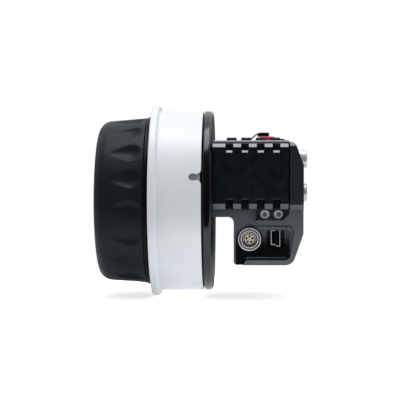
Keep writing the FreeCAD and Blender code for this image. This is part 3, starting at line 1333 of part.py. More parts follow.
def side_button(label, number):
    body = new_body(label)
    flange = sketch_on(body, "Flange", "YZ_Plane", "Place.side_flange_x")
    circle(flange, "Size.side_button_y", side_button_z(number), "Size.side_flange_radius")
    pad(body, flange, "Size.button_flange", "Flange")
    cap = sketch_on(body, "Cap", "YZ_Plane", "Place.side_flange_x + Size.button_flange")
    circle(cap, "Size.side_button_y", side_button_z(number), "Size.side_button_radius")
    pad(body, cap, "Size.side_button_end_x - Place.side_flange_x - Size.button_flange", "Cap")
    dress(body, "Chamfer", "CapBevel", "Size.side_button_radius * 0.08",
          lambda edge: near(middle(edge).x, "Size.side_button_end_x"))
    return as_node(body)


# ---------------------------------------------------------------- connectors
def socket_shell():
    """The flanged barrel of the round socket, with a grooved front, let into its seat in the housing."""
    body = new_body("socket_shell")
    profile = sketch_on(body, "ShellProfile", "XY_Plane", "0")
    front = "-Size.socket_flange"
    groove_end = "-Size.socket_flange + Size.socket_groove_depth"
    groove_inner = "Size.socket_groove_radius - Size.socket_groove_width"
    outline(profile, [(front, "Size.socket_bore_radius"),
                      (front, groove_inner),
                      (groove_end, groove_inner),
                      (groove_end, "Size.socket_groove_radius"),
                      (front, "Size.socket_groove_radius"),
                      (front, "Size.socket_flange_radius"),
                      ("Size.socket_seat", "Size.socket_flange_radius"),
                      ("Size.socket_seat", "Size.socket_body_radius"),
                      ("Size.socket_length", "Size.socket_body_radius"),
                      ("Size.socket_length", "Size.insert_radius"),
                      ("Size.socket_bore_depth", "Size.insert_radius"),
                      ("Size.socket_bore_depth", "Size.socket_bore_radius")])
    revolve(body, profile)
    dress(body, "Chamfer", "FlangeBevel", "Size.socket_flange_bevel",
          lambda edge: ring_edge(edge, front, "Size.socket_flange_radius"))
    face_along_y(body)
    return as_node(body)


def face_along_y(body):
    """Stands a piece turned about X on the connector floor, with X pointing into the housing."""
    body.Placement = Placement(Vector(0, 0, 0), Rotation(Vector(0, 0, 1), 90))
    body.setExpression("Placement.Base.x", "Size.socket_x")
    body.setExpression("Placement.Base.y", "Size.floor_y")
    body.setExpression("Placement.Base.z", "Size.socket_z")


def socket_sleeve():
    """The inner tube around the contacts, cut to a half shell in front."""
    body = new_body("socket_sleeve")
    profile = sketch_on(body, "SleeveProfile", "XY_Plane", "0")
    rectangle(profile, "-Size.socket_flange + Size.sleeve_set_back", "Size.sleeve_radius - Size.sleeve_wall",
              "Size.socket_bore_depth", "Size.sleeve_radius")
    revolve(body, profile)
    lower = sketch_on(body, "LowerHalf", "YZ_Plane", "-Size.socket_flange + Size.sleeve_set_back")
    reach = "(Size.sleeve_radius + Size.sleeve_wall)"
    rectangle(lower, f"-{reach}", f"-{reach}", reach, "-Size.sleeve_leg")
    pocket(body, lower, "Size.socket_bore_depth / 2", "LowerHalf", reverse=True)
    face_along_y(body)
    return as_node(body)


def socket_insert():
    """The insulator with its ring of contact holes."""
    body = new_body("socket_insert")
    profile = sketch_on(body, "InsertProfile", "XY_Plane", "0")
    rectangle(profile, "-Size.socket_flange + Size.insert_set_back", "0",
              "Size.socket_length", "Size.insert_radius - Size.hub_fit")
    revolve(body, profile)
    hole = sketch_on(body, "ContactHole", "YZ_Plane", "-Size.socket_flange + Size.insert_set_back")
    circle(hole, "0", "Size.contact_circle", "Size.contact_radius + Size.hub_fit")
    cut = pocket(body, hole, "Size.contact_depth", "ContactHole", reverse=True)
    ring = body.newObject("PartDesign::PolarPattern", "ContactHoles")
    ring.Originals = [cut]
    ring.Axis = (profile, ["H_Axis"])
    ring.Angle = 360
    ring.setExpression("Occurrences", "Size.contact_count")
    body.Tip = ring
    face_along_y(body)
    return as_node(body)


def socket_contacts():
    """The tubes that take a plug's pins, each standing on the floor of its hole."""
    mouth = amount("Size.floor_y - Size.socket_flange + Size.insert_set_back")
    set_back = amount("Size.contact_set_back")
    circle_radius = amount("Size.contact_circle")
    count = int(amount("Size.contact_count"))
    shapes = []
    for number in range(count):
        turn = math.radians(90 + 360 / count * number)
        start = Vector(amount("Size.socket_x") + circle_radius * math.cos(turn), mouth + set_back,
                       amount("Size.socket_z") + circle_radius * math.sin(turn))
        tube = Part.makeCylinder(amount("Size.contact_radius"), amount("Size.contact_depth") - set_back,
                                 start, Vector(0, 1, 0))
        bore = Part.makeCylinder(amount("Size.contact_bore"), amount("Size.contact_bore_depth"),
                                 start, Vector(0, 1, 0))
        shapes.append(tube.cut(bore))
    return group("socket_contacts", shapes)


def usb_shell():
    body = new_body("usb_shell")
    back = sketch_on(body, "ShellOutline", "XZ_Plane", "-(Place.usb_start_y + Size.usb_length)")
    usb_outline(back, "0")
    pad(body, back, "Size.usb_length", "Shell")
    mouth = sketch_on(body, "Mouth", "XZ_Plane", "-Place.usb_start_y")
    usb_outline(mouth, "-Size.usb_wall")
    pocket(body, mouth, "Size.usb_length - Size.usb_back_wall", "Mouth")
    return as_node(body)


def usb_tongue():
    """The contact tongue that stands in the middle of the receptacle."""
    tongue = box("usb_tongue",
                 ("Size.usb_x - Size.tongue_depth * 0.2", "Place.usb_start_y + Size.tongue_set_back",
                  "Size.usb_z - Size.tongue_height / 2"),
                 ("Size.tongue_depth", "Size.usb_length - Size.tongue_set_back - Size.usb_back_wall",
                  "Size.tongue_height"))
    return as_node(tongue)


def usb_contacts():
    """Contact strips on the tongue's left face."""
    width = amount("Size.usb_contact_width")
    thick = amount("Size.usb_contact_thick")
    left = amount("Size.usb_x - Size.tongue_depth * 0.2") - thick
    front = amount("Place.usb_start_y + Size.tongue_set_back + Size.usb_contact_set_back")
    count = int(amount("Size.usb_contact_count"))
    shapes = []
    for number in range(count):
        up = amount("Size.usb_z") + amount("Size.usb_contact_pitch") * (number - (count - 1) / 2)
        corner = Vector(left, front, up - width / 2)
        shapes.append(Part.makeBox(thick, amount("Size.usb_contact_length"), width, corner))
    return group("usb_contacts", shapes)


def tray_screws(master):
    heads = [Vector(amount(tray_screw_x(number)), amount("Size.tray_floor_y"), amount("Size.tray_screw_z"))
             for number in range(2)]
    return group("tray_screws", cap_screw(master, Vector(0, 1, 0), heads))


def cover_screws(master):
    seat_x = amount("Place.cover_seat_x")
    heads = [Vector(seat_x, amount(side), amount(height)) for side, height in cover_screw_spots()]
    return group("cover_screws", cap_screw(master, Vector(-1, 0, 0), heads))


def thread_insert():
    body = new_body("thread_insert")
    drawing = sketch_on(body, "InsertRing", "XY_Plane")
    circle(drawing, "0", "0", "Size.insert_outer_radius")
    circle(drawing, "0", "0", "Size.thread_radius")
    pad(body, drawing, "Size.thread_depth", "Insert")
    return as_node(body)


# ---------------------------------------------------------------- boards inside
def board_with(label, plate, chips):
    """A circuit board and the flat packages on it, fused into one piece."""
    joined = doc.addObject("Part::MultiFuse", "Fuse_" + label)
    joined.Label = label
    joined.Shapes = [plate] + chips
    return as_node(joined)


def main_board():
    gap = "Size.board_edge_gap"
    width = f"(Size.cavity_right_x - Size.cavity_left_x - 2 * {gap})"
    length = f"(Place.far_cavity_y - Size.near_wall_y - 2 * {gap} - Size.board_near_gap)"
    low = (f"Size.cavity_left_x + {gap}", f"Size.near_wall_y + {gap} + Size.board_near_gap",
           "Size.main_board_z")
    plate = box("main_board_plate", low, (width, length, "Size.board_depth"))
    top = "Size.main_board_z + Size.board_depth"
    side = "Size.processor_side"
    chips = [box("processor", (f"-{side} / 2", f"-{side} / 4", top), (side, side, "Size.chip_depth")),
             box("shield_can", ("-Size.shield_length / 2", f"{side}", top),
                 ("Size.shield_length", side, "Size.chip_depth * 2")),
             box("power_coil", (f"{side} / 2", "-2 * Size.coil_side", top),
                 ("Size.coil_side", "Size.coil_side", "Size.chip_depth * 2.5"))]
    return board_with("main_board", plate, chips)


def board_posts(label, spots, low, high):
    """Round posts that carry a board, one separate solid each."""
    height = amount(high) - amount(low)
    shapes = [Part.makeCylinder(amount("Size.post_radius"), height,
                                Vector(amount(across), amount(deep), amount(low)))
              for across, deep in spots]
    return group(label, shapes)


def main_posts():
    left = "Size.cavity_left_x + Size.board_edge_gap + Size.post_inset"
    right = "Size.cavity_right_x - Size.board_edge_gap - Size.post_inset"
    near_y = "Size.near_wall_y + Size.board_edge_gap + Size.board_near_gap + Size.post_inset"
    far_y = "Place.far_cavity_y - Size.board_edge_gap - Size.post_inset"
    spots = [(across, deep) for across in (left, right) for deep in (near_y, far_y)]
    return board_posts("main_board_posts", spots, "Size.cavity_floor_z", "Size.main_board_z")


def key_board():
    low = ("Size.key_first_x - Size.key_board_margin", "Size.near_wall_y + Size.board_edge_gap",
           "Place.key_board_z")
    width = "Size.key_pitch * 3 + Size.key_board_margin + Size.key_board_right_margin"
    plate = box("key_board", low, (width, "Size.key_board_length", "Size.board_depth"))
    return as_node(plate)


def key_posts():
    """Posts that hang the key board under the top panel."""
    left = "Size.key_first_x - Size.key_post_inset"
    right = "Size.key_first_x + Size.key_pitch * 3 + Size.key_post_right"
    row = "Size.record_y + Size.key_post_row"
    return board_posts("key_board_posts", [(left, row), (right, row)],
                       "Place.key_board_top_z", "Size.panel_z")


def key_switches():
    """One tact switch under each key and one under the record button."""
    spots = [(f"Size.key_first_x + Size.key_pitch * {number}", "Size.key_y") for number in range(4)]
    spots.append(("Size.record_x", "Size.record_y"))
    base = amount("Size.switch_base")
    low = amount("Place.key_board_top_z")
    shapes = []
    for across, deep in spots:
        centre = Vector(amount(across), amount(deep), low)
        corner = centre - Vector(base / 2, base / 2, 0)
        body = Part.makeBox(base, base, amount("Size.switch_height"), corner)
        stem = Part.makeCylinder(amount("Size.plunger_radius"), amount("Place.plunger_top_z") - low, centre)
        shapes.append(body.fuse(stem))
    return group("key_switches", shapes)


def side_board():
    low = ("Place.side_board_x", "Size.side_button_y - Size.side_board_half",
           "Size.side_button_low_z - Size.side_board_margin")
    size = ("Size.board_depth", "2 * Size.side_board_half",
            "Size.side_button_pitch + 2 * Size.side_board_margin")
    return as_node(box("side_board", low, size))


def side_board_posts():
    """Posts between the end cover and the side board, clear of both buttons."""
    left = amount("Place.side_board_x + Size.board_depth")
    length = amount("Place.cover_inner_x") - left
    height = amount("Size.side_button_low_z + Size.side_button_pitch / 2")
    reach = amount("Size.side_post_reach")
    shapes = [Part.makeCylinder(amount("Size.post_radius"), length,
                                Vector(left, amount("Size.side_button_y") + side * reach, height),
                                Vector(1, 0, 0))
              for side in (-1, 1)]
    return group("side_board_posts", shapes)


def side_switches():
    base = amount("Size.switch_base")
    left = amount("Place.side_board_x + Size.board_depth")
    shapes = []
    for number in range(2):
        centre = Vector(left, amount("Size.side_button_y"), amount(side_button_z(number)))
        corner = centre - Vector(0, base / 2, base / 2)
        body = Part.makeBox(amount("Size.switch_height"), base, base, corner)
        stem = Part.makeCylinder(amount("Size.plunger_radius"), amount("Place.side_plunger_x") - left,
                                 centre, Vector(1, 0, 0))
        shapes.append(body.fuse(stem))
    return group("side_switches", shapes)


def encoder_board():
    half = "Size.encoder_board_half"
    plate = box("encoder_plate", ("Place.encoder_board_x", f"-{half}", f"Size.axis_height - {half} / 3"),
                ("Size.board_depth", f"2 * {half}", f"{half} * 2 / 3"))
    low = ("Place.chip_x", "-Size.sensor_side / 2", "Size.axis_height - Size.sensor_side / 2")
    chip = box("encoder_chip", low, ("Size.chip_depth", "Size.sensor_side", "Size.sensor_side"))
    return board_with("encoder_board", plate, [chip])


def encoder_posts():
    """Two posts between the housing's left wall and the encoder board."""
    start = amount("Size.disc_back_x + Size.left_wall")
    length = amount("Place.encoder_board_x") - start
    reach = amount("Size.encoder_board_half - Size.post_radius - Size.pack_gap")
    shapes = [Part.makeCylinder(amount("Size.post_radius"), length,
                                Vector(start, side * reach, amount("Size.axis_height")), Vector(1, 0, 0))
              for side in (-1, 1)]
    return group("encoder_posts", shapes)


def contact_block():
    body = new_body("contact_block")
    drawing = sketch_on(body, "BlockOutline", "XZ_Plane", "-Size.near_wall_y")
    contact_window(drawing, "0")
    pad(body, drawing, "Size.near_wall_y - Place.bay_wall_y", "Block")
    return as_node(body)


def contact_blades():
    """Sprung contacts between the block and the pack's back."""
    half = amount("Size.contact_blade") / 2
    gap = amount("Size.pack_gap")
    tall = amount("Size.contact_block_height") * 0.7
    shapes = []
    for number in range(4):
        across = amount("Size.contact_block_x") + amount("Size.contact_pitch") * (number - 1.5)
        corner = Vector(across - half, amount("Place.pack_far_y"), amount("Size.contact_block_z") - tall / 2)
        shapes.append(Part.makeBox(2 * half, gap, tall, corner))
    return group("contact_blades", shapes)


# ---------------------------------------------------------------- assembly and export
def build_all():
    short_screw = screw_master("ShortScrew", "Size.screw_length")
    disc_screw = screw_master("DiscScrew", "Size.disc_screw_length")
    knob_grip()
    knob_core()
    front_cap()
    marking_ring()
    ring_pin()
    stop_pin()
    knob_shaft()
    hub_washer()
    hub_screw(short_screw)
    shaft_clip()
    encoder_magnet()
    bearing("front_bearing", "Place.front_bearing_x")
    bearing("rear_bearing", "Place.rear_bearing_x")
    index_disc()
    felt_ring()
    disc_screws(disc_screw)
    main_housing()
    top_panel()
    for number in range(4):
        soft_key(number)
    record_button()
    button_guard()
    battery_pack()
    end_cover()
    side_button("side_button_lower", 0)
    side_button("side_button_upper", 1)
    socket_shell()
    socket_sleeve()
    socket_insert()
    socket_contacts()
    usb_shell()
    usb_tongue()
    usb_contacts()
    tray_screws(short_screw)
    cover_screws(short_screw)
    thread_insert()
    main_board()
    main_posts()
    key_board()
    key_posts()
    key_switches()
    side_board()
    side_board_posts()
    side_switches()
    encoder_board()
    encoder_posts()
    contact_block()
    contact_blades()


def check_and_export():
    doc.recompute()
    failed = [item.Label for item in doc.Objects if {"Invalid", "Error"} & set(item.State)]
    if failed:
        raise ValueError(f"failed objects: {failed}")
    for node in nodes:
        if node.Shape.isNull() or not node.Shape.isValid():
            raise ValueError(f"{node.Label} has no valid shape")
    os.makedirs("parts", exist_ok=True)
    for node in nodes:
        node.Shape.exportStep(f"parts/{node.Label}.step")


fill_sheet()
build_all()
check_and_export()
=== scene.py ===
import json
import math

import bpy
from mathutils import Matrix, Vector


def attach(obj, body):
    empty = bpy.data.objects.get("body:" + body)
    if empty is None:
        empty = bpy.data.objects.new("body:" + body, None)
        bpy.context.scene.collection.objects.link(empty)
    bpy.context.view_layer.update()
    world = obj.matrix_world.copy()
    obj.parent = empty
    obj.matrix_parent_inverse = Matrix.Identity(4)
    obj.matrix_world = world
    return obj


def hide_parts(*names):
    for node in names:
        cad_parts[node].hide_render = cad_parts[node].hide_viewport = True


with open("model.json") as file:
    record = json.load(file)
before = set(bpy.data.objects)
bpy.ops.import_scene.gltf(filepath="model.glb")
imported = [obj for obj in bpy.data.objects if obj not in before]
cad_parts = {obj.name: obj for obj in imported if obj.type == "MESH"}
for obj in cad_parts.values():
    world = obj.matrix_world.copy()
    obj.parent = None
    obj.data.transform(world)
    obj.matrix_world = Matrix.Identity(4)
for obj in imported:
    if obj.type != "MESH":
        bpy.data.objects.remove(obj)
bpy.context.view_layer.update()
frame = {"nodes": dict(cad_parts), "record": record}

MM = 0.001

# Places with a tone or a roughness set apart, as boxes or slabs on the Object axes. The dark
# tones are painted shade in the recess, holes, groove and hexagons; the drum's grey carries
# painted light.
# Each span is its low end, its high end and the width of its soft edge, in millimetres.
# The drum's own grey, lifted with painted light for the light that comes through the translucent
# ring.
DRUM_GREY_AND_PAINTED_LIGHT = {"X": (-48.2, 0.0, 0.05)}
DISC_BACK = {"X": (-21.95, 0.0, 0.1)}
# Painted shade inside the screw heads' hexagon sockets.
SCREW_HEX_PAINTED_SHADE = {"Y": (-24.95, -15.0, 0.1)}
# Painted shade over the connector recess, deepest towards its bottom; the same box makes the
# recess smoother.
RECESS_PAINTED_SHADE = {
    "X": (-12.0, 12.0, 0.8),
    "Y": (-28.7, -23.0, 0.6),
    "Z": (-8.0, 16.5, 9.0),
}
# Painted shade along the recess's upper edge, laid over the light it catches from below.
RECESS_BROW_PAINTED_SHADE = {
    "X": (-9.0, 14.5, 4.0),
    "Y": (-28.9, -24.5, 0.3),
    "Z": (14.2, 17.8, 1.6),
}
# Painted shade inside the socket's seat gap and the USB well.
CONNECTOR_HOLES_PAINTED_SHADE = {
    "X": (-11.8, 10.5, 0.1),
    "Y": (-24.95, -16.0, 0.1),
    "Z": (4.6, 17.2, 0.1),
}
# Painted shade in the round socket's groove.
SOCKET_GROOVE_PAINTED_SHADE = {
    "X": (-11.0, 0.0, 0.1),
    "Y": (-26.05, -25.55, 0.05),
    "Z": (5.0, 17.0, 0.1),
}
# Painted shade inside the USB shell.
USB_INSIDE_PAINTED_SHADE = {
    "X": (3.0, 8.0, 0.1),
    "Y": (-24.25, -15.0, 0.1),
    "Z": (7.0, 16.0, 0.1),
}

# Softened copies. Lengths are in millimetres, turns in degrees.
MERGE_GAP = 0.002
FLAT_TURN = 0.3
SHARP_TURN = 30.0
EDGE_STEPS = 3
EDGE_RADII = {
    "battery_pack": 0.50,
    "end_cover": 0.50,
    "main_housing": 0.25,
    "top_panel": 0.12,
    "button_guard": 0.15,
    "marking_ring": 0.25,
    "index_disc": 0.15,
    "side_button_lower": 0.25,
    "side_button_upper": 0.25,
    "usb_shell": 0.08,
    "socket_sleeve": 0.08,
}
GRIP_CELL = 0.45
GRIP_SMOOTHING, GRIP_SMOOTHINGS = 0.5, 10

SOCKET_X, SOCKET_Z = -5.6, 10.9
SOCKET_FRONT_Y = -26.2
SOCKET_RIM_DEPTH = 0.25
SOCKET_BORE_RADIUS = 3.2
SOCKET_RIM_ROUND = 0.26
SOCKET_RIM_STEPS = 5
SOCKET_TURN = 50.0

SCREW_XS = (0.91, 6.79)
SCREW_Z = 21.6
SCREW_TURN = 60.0
SCREW_RIM_RADII = (1.5, 2.2)
SCREW_RING_NEAR = 0.03
# Rings of corners on a screw head: radius and depth as packed, then as domed.
SCREW_DOME = (
    ((1.72, -25.70), (1.50, -25.70)),
    ((1.89, -25.54), (1.84, -25.47)),
    ((2.05, -25.37), (2.05, -25.05)),
)

# Bench and room. Lengths are in metres, strengths of 1 are white.
FLOOR_Z = -15.2 * MM
FLOOR_FRONT_Y, FLOOR_BACK_Y = -0.085, 0.14
FLOOR_WIDTH = 1.8
FLOOR_TO_EYE = 0.65
FLOOR_TO_GLOSS = 0.7
FLOOR_TO_MATT = 0.6
KNOB_SHADE_X, KNOB_SHADE_END_X = -0.060, -0.030
KNOB_SHADE = 0.2

# The room's spans are parts of a direction, from -1 to 1.
ROOM_FRONT_Y, ROOM_BACK_Y = -0.40, 0.20
ROOM_FRONT = 0.04
ROOM_LOW_Z, ROOM_HIGH_Z = -0.2, 0.6
ROOM_LOW = 0.12
ROOM_TO_MATT = 0.55

LAMP_PLACE = (-0.01, -0.06, 0.62)
LAMP_AIM = (-0.02, -0.04, 0.03)
LAMP_SIDES = (0.50, 0.34)
LAMP_WATTS = 2.35

CAMERA_PLACE = (-0.005, -0.620, 0.032)
CAMERA_LINE = (-51.0 / 1389.0, 1.0, -10.0 / 1389.0)
CAMERA_LENS_MM = 125.0
CAMERA_SENSOR_MM = 36.0
CAMERA_NEAR, CAMERA_FAR = 0.01, 20.0

# The colour sockets of a Mix node are told apart by number only.
MIX_BELOW, MIX_ABOVE, MIX_RESULT = 6, 7, 2
# The middle part of a noise that is spread over a tone or a roughness, and its detail.
TONE_START, TONE_END, TONE_DETAIL = 0.35, 0.65, 3.0
ROUGH_START, ROUGH_END, ROUGH_DETAIL = 0.3, 0.7, 4.0
GRAIN_DETAIL = 2.0
# A slightly blue gloss, as on dyed black surfaces.
COOL_GLOSS = (0.80, 0.92, 1.0, 1.0)
WHITE = (1.0, 1.0, 1.0, 1.0)
EVEN = (1.0, 1.0, 1.0)


# ---------------------------------------------------------------- shader nodes
def maths(tree, operation, *values):
    """One Math node on values that are numbers or sockets."""
    node = tree.nodes.new("ShaderNodeMath")
    node.operation = operation
    for socket, value in zip(node.inputs, values):
        if isinstance(value, bpy.types.NodeSocket):
            tree.links.new(value, socket)
        else:
            socket.default_value = value
    return node.outputs["Value"]


def ramp_over(tree, value, start, end, low=0.0, high=1.0, curve="LINEAR"):
    """Goes from low to high while a value goes from start to end."""
    node = tree.nodes.new("ShaderNodeMapRange")
    node.interpolation_type = curve
    node.inputs["From Min"].default_value = start
    node.inputs["From Max"].default_value = end
    node.inputs["To Min"].default_value = low
    node.inputs["To Max"].default_value = high
    tree.links.new(value, node.inputs["Value"])
    return node.outputs["Result"]


def axes_of(tree, coordinates="Object"):
    """The X, Y and Z sockets of one kind of texture coordinates."""
    place = tree.nodes.new("ShaderNodeTexCoord")
    split = tree.nodes.new("ShaderNodeSeparateXYZ")
    tree.links.new(place.outputs[coordinates], split.inputs["Vector"])
    return split.outputs


def rays_that_see(tree, *kinds):
    """One for the kinds of ray that are named, nought for the others."""
    rays = tree.nodes.new("ShaderNodeLightPath")
    total = rays.outputs[kinds[0]]
    for kind in kinds[1:]:
        total = maths(tree, "MAXIMUM", total, rays.outputs[kind])
    return total


def noise_on(tree, scale, detail, stretch=EVEN):
    """Noise that sits on the piece, finer along an axis that is stretched more."""
    place = tree.nodes.new("ShaderNodeTexCoord")
    mapping = tree.nodes.new("ShaderNodeMapping")
    mapping.inputs["Scale"].default_value = stretch
    noise = tree.nodes.new("ShaderNodeTexNoise")
    noise.inputs["Scale"].default_value = scale
    noise.inputs["Detail"].default_value = detail
    tree.links.new(place.outputs["Object"], mapping.inputs["Vector"])
    tree.links.new(mapping.outputs["Vector"], noise.inputs["Vector"])
    return noise.outputs["Fac"]


def inside_box(material, spans):
    """One inside a box, nought outside it, by its spans in millimetres."""
    tree = material.node_tree
    total = None
    for axis, (low, high, soft) in spans.items():
        middle, half = (low + high) / 2, (high - low) / 2
        away = maths(tree, "ABSOLUTE", maths(tree, "SUBTRACT", axes_of(tree)[axis], middle * MM))
        span = ramp_over(tree, away, half * MM, (half - soft) * MM, curve="SMOOTHSTEP")
        total = span if total is None else maths(tree, "MULTIPLY", total, span)
    return total


# ---------------------------------------------------------------- what a finish is made of
def shader_of(material):
    """The Principled node of a finish."""
    return material.node_tree.nodes["Principled BSDF"]


def new_finish(name, colour, roughness, **constants):
    """A finish with plain constants, each named as its socket with _ for a space."""
    material = bpy.data.materials.new(name)
    material.use_nodes = True
    sockets = shader_of(material).inputs
    sockets["Base Color"].default_value = (*colour, 1.0)
    sockets["Roughness"].default_value = roughness
    for constant, value in constants.items():
        sockets[constant.replace("_", " ")].default_value = value
    return material


def mottle(material, scale, dark, light):
    """Slow drift of tone between two near colours."""
    tree = material.node_tree
    ramp = tree.nodes.new("ShaderNodeValToRGB")
    first, last = ramp.color_ramp.elements
    first.position, last.position = TONE_START, TONE_END
    first.color, last.color = (*dark, 1.0), (*light, 1.0)
    tree.links.new(noise_on(tree, scale, TONE_DETAIL), ramp.inputs["Fac"])
    tree.links.new(ramp.outputs["Color"], shader_of(material).inputs["Base Color"])


def rough_drift(material, scale, low, high, stretch=EVEN):
    """Roughness that wanders between two values."""
    tree = material.node_tree
    noise = noise_on(tree, scale, ROUGH_DETAIL, stretch)
    drift = ramp_over(tree, noise, ROUGH_START, ROUGH_END, low, high)
    tree.links.new(drift, shader_of(material).inputs["Roughness"])


def grain(material, scale, depth, stretch=EVEN):
    """Fine surface relief, its depth in millimetres."""
    tree = material.node_tree
    bump = tree.nodes.new("ShaderNodeBump")
    bump.inputs["Distance"].default_value = depth * MM
    bump.inputs["Strength"].default_value = 1.0
    tree.links.new(noise_on(tree, scale, GRAIN_DETAIL, stretch), bump.inputs["Height"])
    tree.links.new(bump.outputs["Normal"], shader_of(material).inputs["Normal"])


def scale_roughness_where(material, mask, scale):
    """Multiplies the roughness that a finish already has, where a mask is one."""
    tree = material.node_tree
    roughness = shader_of(material).inputs["Roughness"]
    share = ramp_over(tree, mask, 0.0, 1.0, 1.0, scale)
    scaled = maths(tree, "MULTIPLY", roughness.links[0].from_socket, share)
    tree.links.new(scaled, roughness)


def tint_where(material, mask, colour):
    """Lays a second colour over the tone that a finish already has, where a mask is one."""
    tree = material.node_tree
    tone = shader_of(material).inputs["Base Color"]
    blend = tree.nodes.new("ShaderNodeMix")
    blend.data_type = "RGBA"
    tree.links.new(mask, blend.inputs["Factor"])
    tree.links.new(tone.links[0].from_socket, blend.inputs[MIX_BELOW])
    blend.inputs[MIX_ABOVE].default_value = (*colour, 1.0)
    tree.links.new(blend.outputs[MIX_RESULT], tone)


# ---------------------------------------------------------------- finishes
def grip_rubber():
    rubber = new_finish("grip_rubber", (0.009, 0.0135, 0.020), 0.48,
                        Specular_IOR_Level=0.2, Specular_Tint=COOL_GLOSS)
    mottle(rubber, 70.0, (0.007, 0.0115, 0.017), (0.011, 0.0155, 0.023))
    rough_drift(rubber, 220.0, 0.43, 0.53)
    grain(rubber, 5200.0, 0.012)
    return rubber


def ring_plastic():
    """White plastic that lets a little light into its skin."""
    plastic = new_finish("ring_plastic", (0.78, 0.82, 0.86), 0.36,
                         Subsurface_Weight=0.25, Subsurface_Scale=1.5 * MM)
    mottle(plastic, 45.0, (0.76, 0.80, 0.85), (0.80, 0.84, 0.88))
    rough_drift(plastic, 160.0, 0.32, 0.42)
    grain(plastic, 3000.0, 0.004)
    return plastic


def black_anodised():
    """The housing's finish, dark grey; painted shade makes it near black in the connector
    recess, on the recess's upper edge and in the connector holes, and it is smoother in the
    recess.
    """
    metal = new_finish("black_anodised", (0.092, 0.104, 0.122), 0.44,
                       IOR=1.8, Specular_Tint=COOL_GLOSS)
    mottle(metal, 60.0, (0.087, 0.099, 0.116), (0.097, 0.109, 0.128))
    # Painted shade: the recess, its upper edge and the connector holes are darkened where shade
    # falls.
    recess = inside_box(metal, RECESS_PAINTED_SHADE)
    tint_where(metal, recess, (0.004, 0.0045, 0.0055))
    tint_where(metal, inside_box(metal, RECESS_BROW_PAINTED_SHADE), (0.012, 0.013, 0.015))
    tint_where(metal, inside_box(metal, CONNECTOR_HOLES_PAINTED_SHADE), (0.002, 0.002, 0.0025))
    rough_drift(metal, 500.0, 0.40, 0.50)
    scale_roughness_where(metal, recess, 0.4)
    grain(metal, 9000.0, 0.008)
    return metal


def cover_black():
    metal = new_finish("cover_black", (0.010, 0.011, 0.013), 0.44,
                       IOR=1.9, Specular_Tint=COOL_GLOSS)
    mottle(metal, 60.0, (0.010, 0.015, 0.023), (0.013, 0.019, 0.029))
    rough_drift(metal, 500.0, 0.40, 0.50)
    grain(metal, 9000.0, 0.008)
    return metal


def knob_black():
    """Black on the lip and in front of it; the drum under the marking ring is grey, lightened
    with painted light that stands in for light through the translucent ring.
    """
    metal = new_finish("knob_black", (0.004, 0.004, 0.005), 0.4, Specular_IOR_Level=0.12)
    mottle(metal, 60.0, (0.003, 0.003, 0.004), (0.005, 0.005, 0.006))
    # The drum's grey, lightened with painted light.
    tint_where(metal, inside_box(metal, DRUM_GREY_AND_PAINTED_LIGHT), (0.70, 0.71, 0.71))
    rough_drift(metal, 700.0, 0.36, 0.46, (5.0, 1.0, 1.0))
    grain(metal, 5000.0, 0.004, (6.0, 0.5, 0.5))
    return metal


def disc_black():
    """Polished on the disc's rim, dull on its back."""
    metal = new_finish("disc_black", (0.004, 0.004, 0.005), 0.15, Specular_Tint=COOL_GLOSS)
    mottle(metal, 50.0, (0.003, 0.003, 0.004), (0.005, 0.005, 0.006))
    rough_drift(metal, 900.0, 0.12, 0.18, (6.0, 1.0, 1.0))
    scale_roughness_where(metal, inside_box(metal, DISC_BACK), 4.0)
    grain(metal, 2500.0, 0.003, (8.0, 0.4, 0.4))
    return metal


def panel_black():
    metal = new_finish("panel_black", (0.19, 0.19, 0.21), 0.42,
                       Metallic=0.3, Specular_Tint=COOL_GLOSS)
    mottle(metal, 80.0, (0.18, 0.18, 0.20), (0.20, 0.20, 0.22))
    rough_drift(metal, 700.0, 0.36, 0.48)
    grain(metal, 8000.0, 0.006)
    return metal


def pack_plastic():
    plastic = new_finish("pack_plastic", (0.005, 0.0055, 0.007), 0.34,
                         IOR=2.0, Specular_Tint=COOL_GLOSS)
    mottle(plastic, 350.0, (0.0012, 0.0028, 0.0068), (0.0045, 0.009, 0.019))
    rough_drift(plastic, 800.0, 0.28, 0.40)
    grain(plastic, 1200.0, 0.010)
    return plastic


def key_rubber():
    rubber = new_finish("key_rubber", (0.012, 0.013, 0.015), 0.5)
    mottle(rubber, 300.0, (0.010, 0.011, 0.013), (0.016, 0.017, 0.019))
    rough_drift(rubber, 900.0, 0.44, 0.58)
    grain(rubber, 6000.0, 0.006)
    return rubber


def red_plastic():
    plastic = new_finish("red_plastic", (0.80, 0.03, 0.06), 0.3, Coat_Weight=0.2)
    mottle(plastic, 250.0, (0.76, 0.026, 0.055), (0.84, 0.036, 0.068))
    rough_drift(plastic, 700.0, 0.26, 0.36)
    grain(plastic, 4000.0, 0.003)
    return plastic


def gloss_black():
    plastic = new_finish("gloss_black", (0.008, 0.008, 0.010), 0.2)
    mottle(plastic, 200.0, (0.006, 0.006, 0.008), (0.011, 0.011, 0.013))
    rough_drift(plastic, 600.0, 0.16, 0.26)
    grain(plastic, 3500.0, 0.002)
    return plastic


def worked_metal(name, metallic, dark, light, rough, lines, stretch):
    """Metal with the fine lines of its machining: their scale and depth, and their stretch."""
    metal = new_finish(name, light, sum(rough) / 2, Metallic=metallic)
    mottle(metal, 150.0, dark, light)
    rough_drift(metal, 900.0, *rough, stretch)
    grain(metal, *lines, stretch)
    return metal


def satin_metal():
    return worked_metal("satin_metal", 0.4, (0.66, 0.67, 0.68), (0.76, 0.77, 0.78),
                        (0.26, 0.38), (2600.0, 0.004), (1.0, 0.2, 0.2))


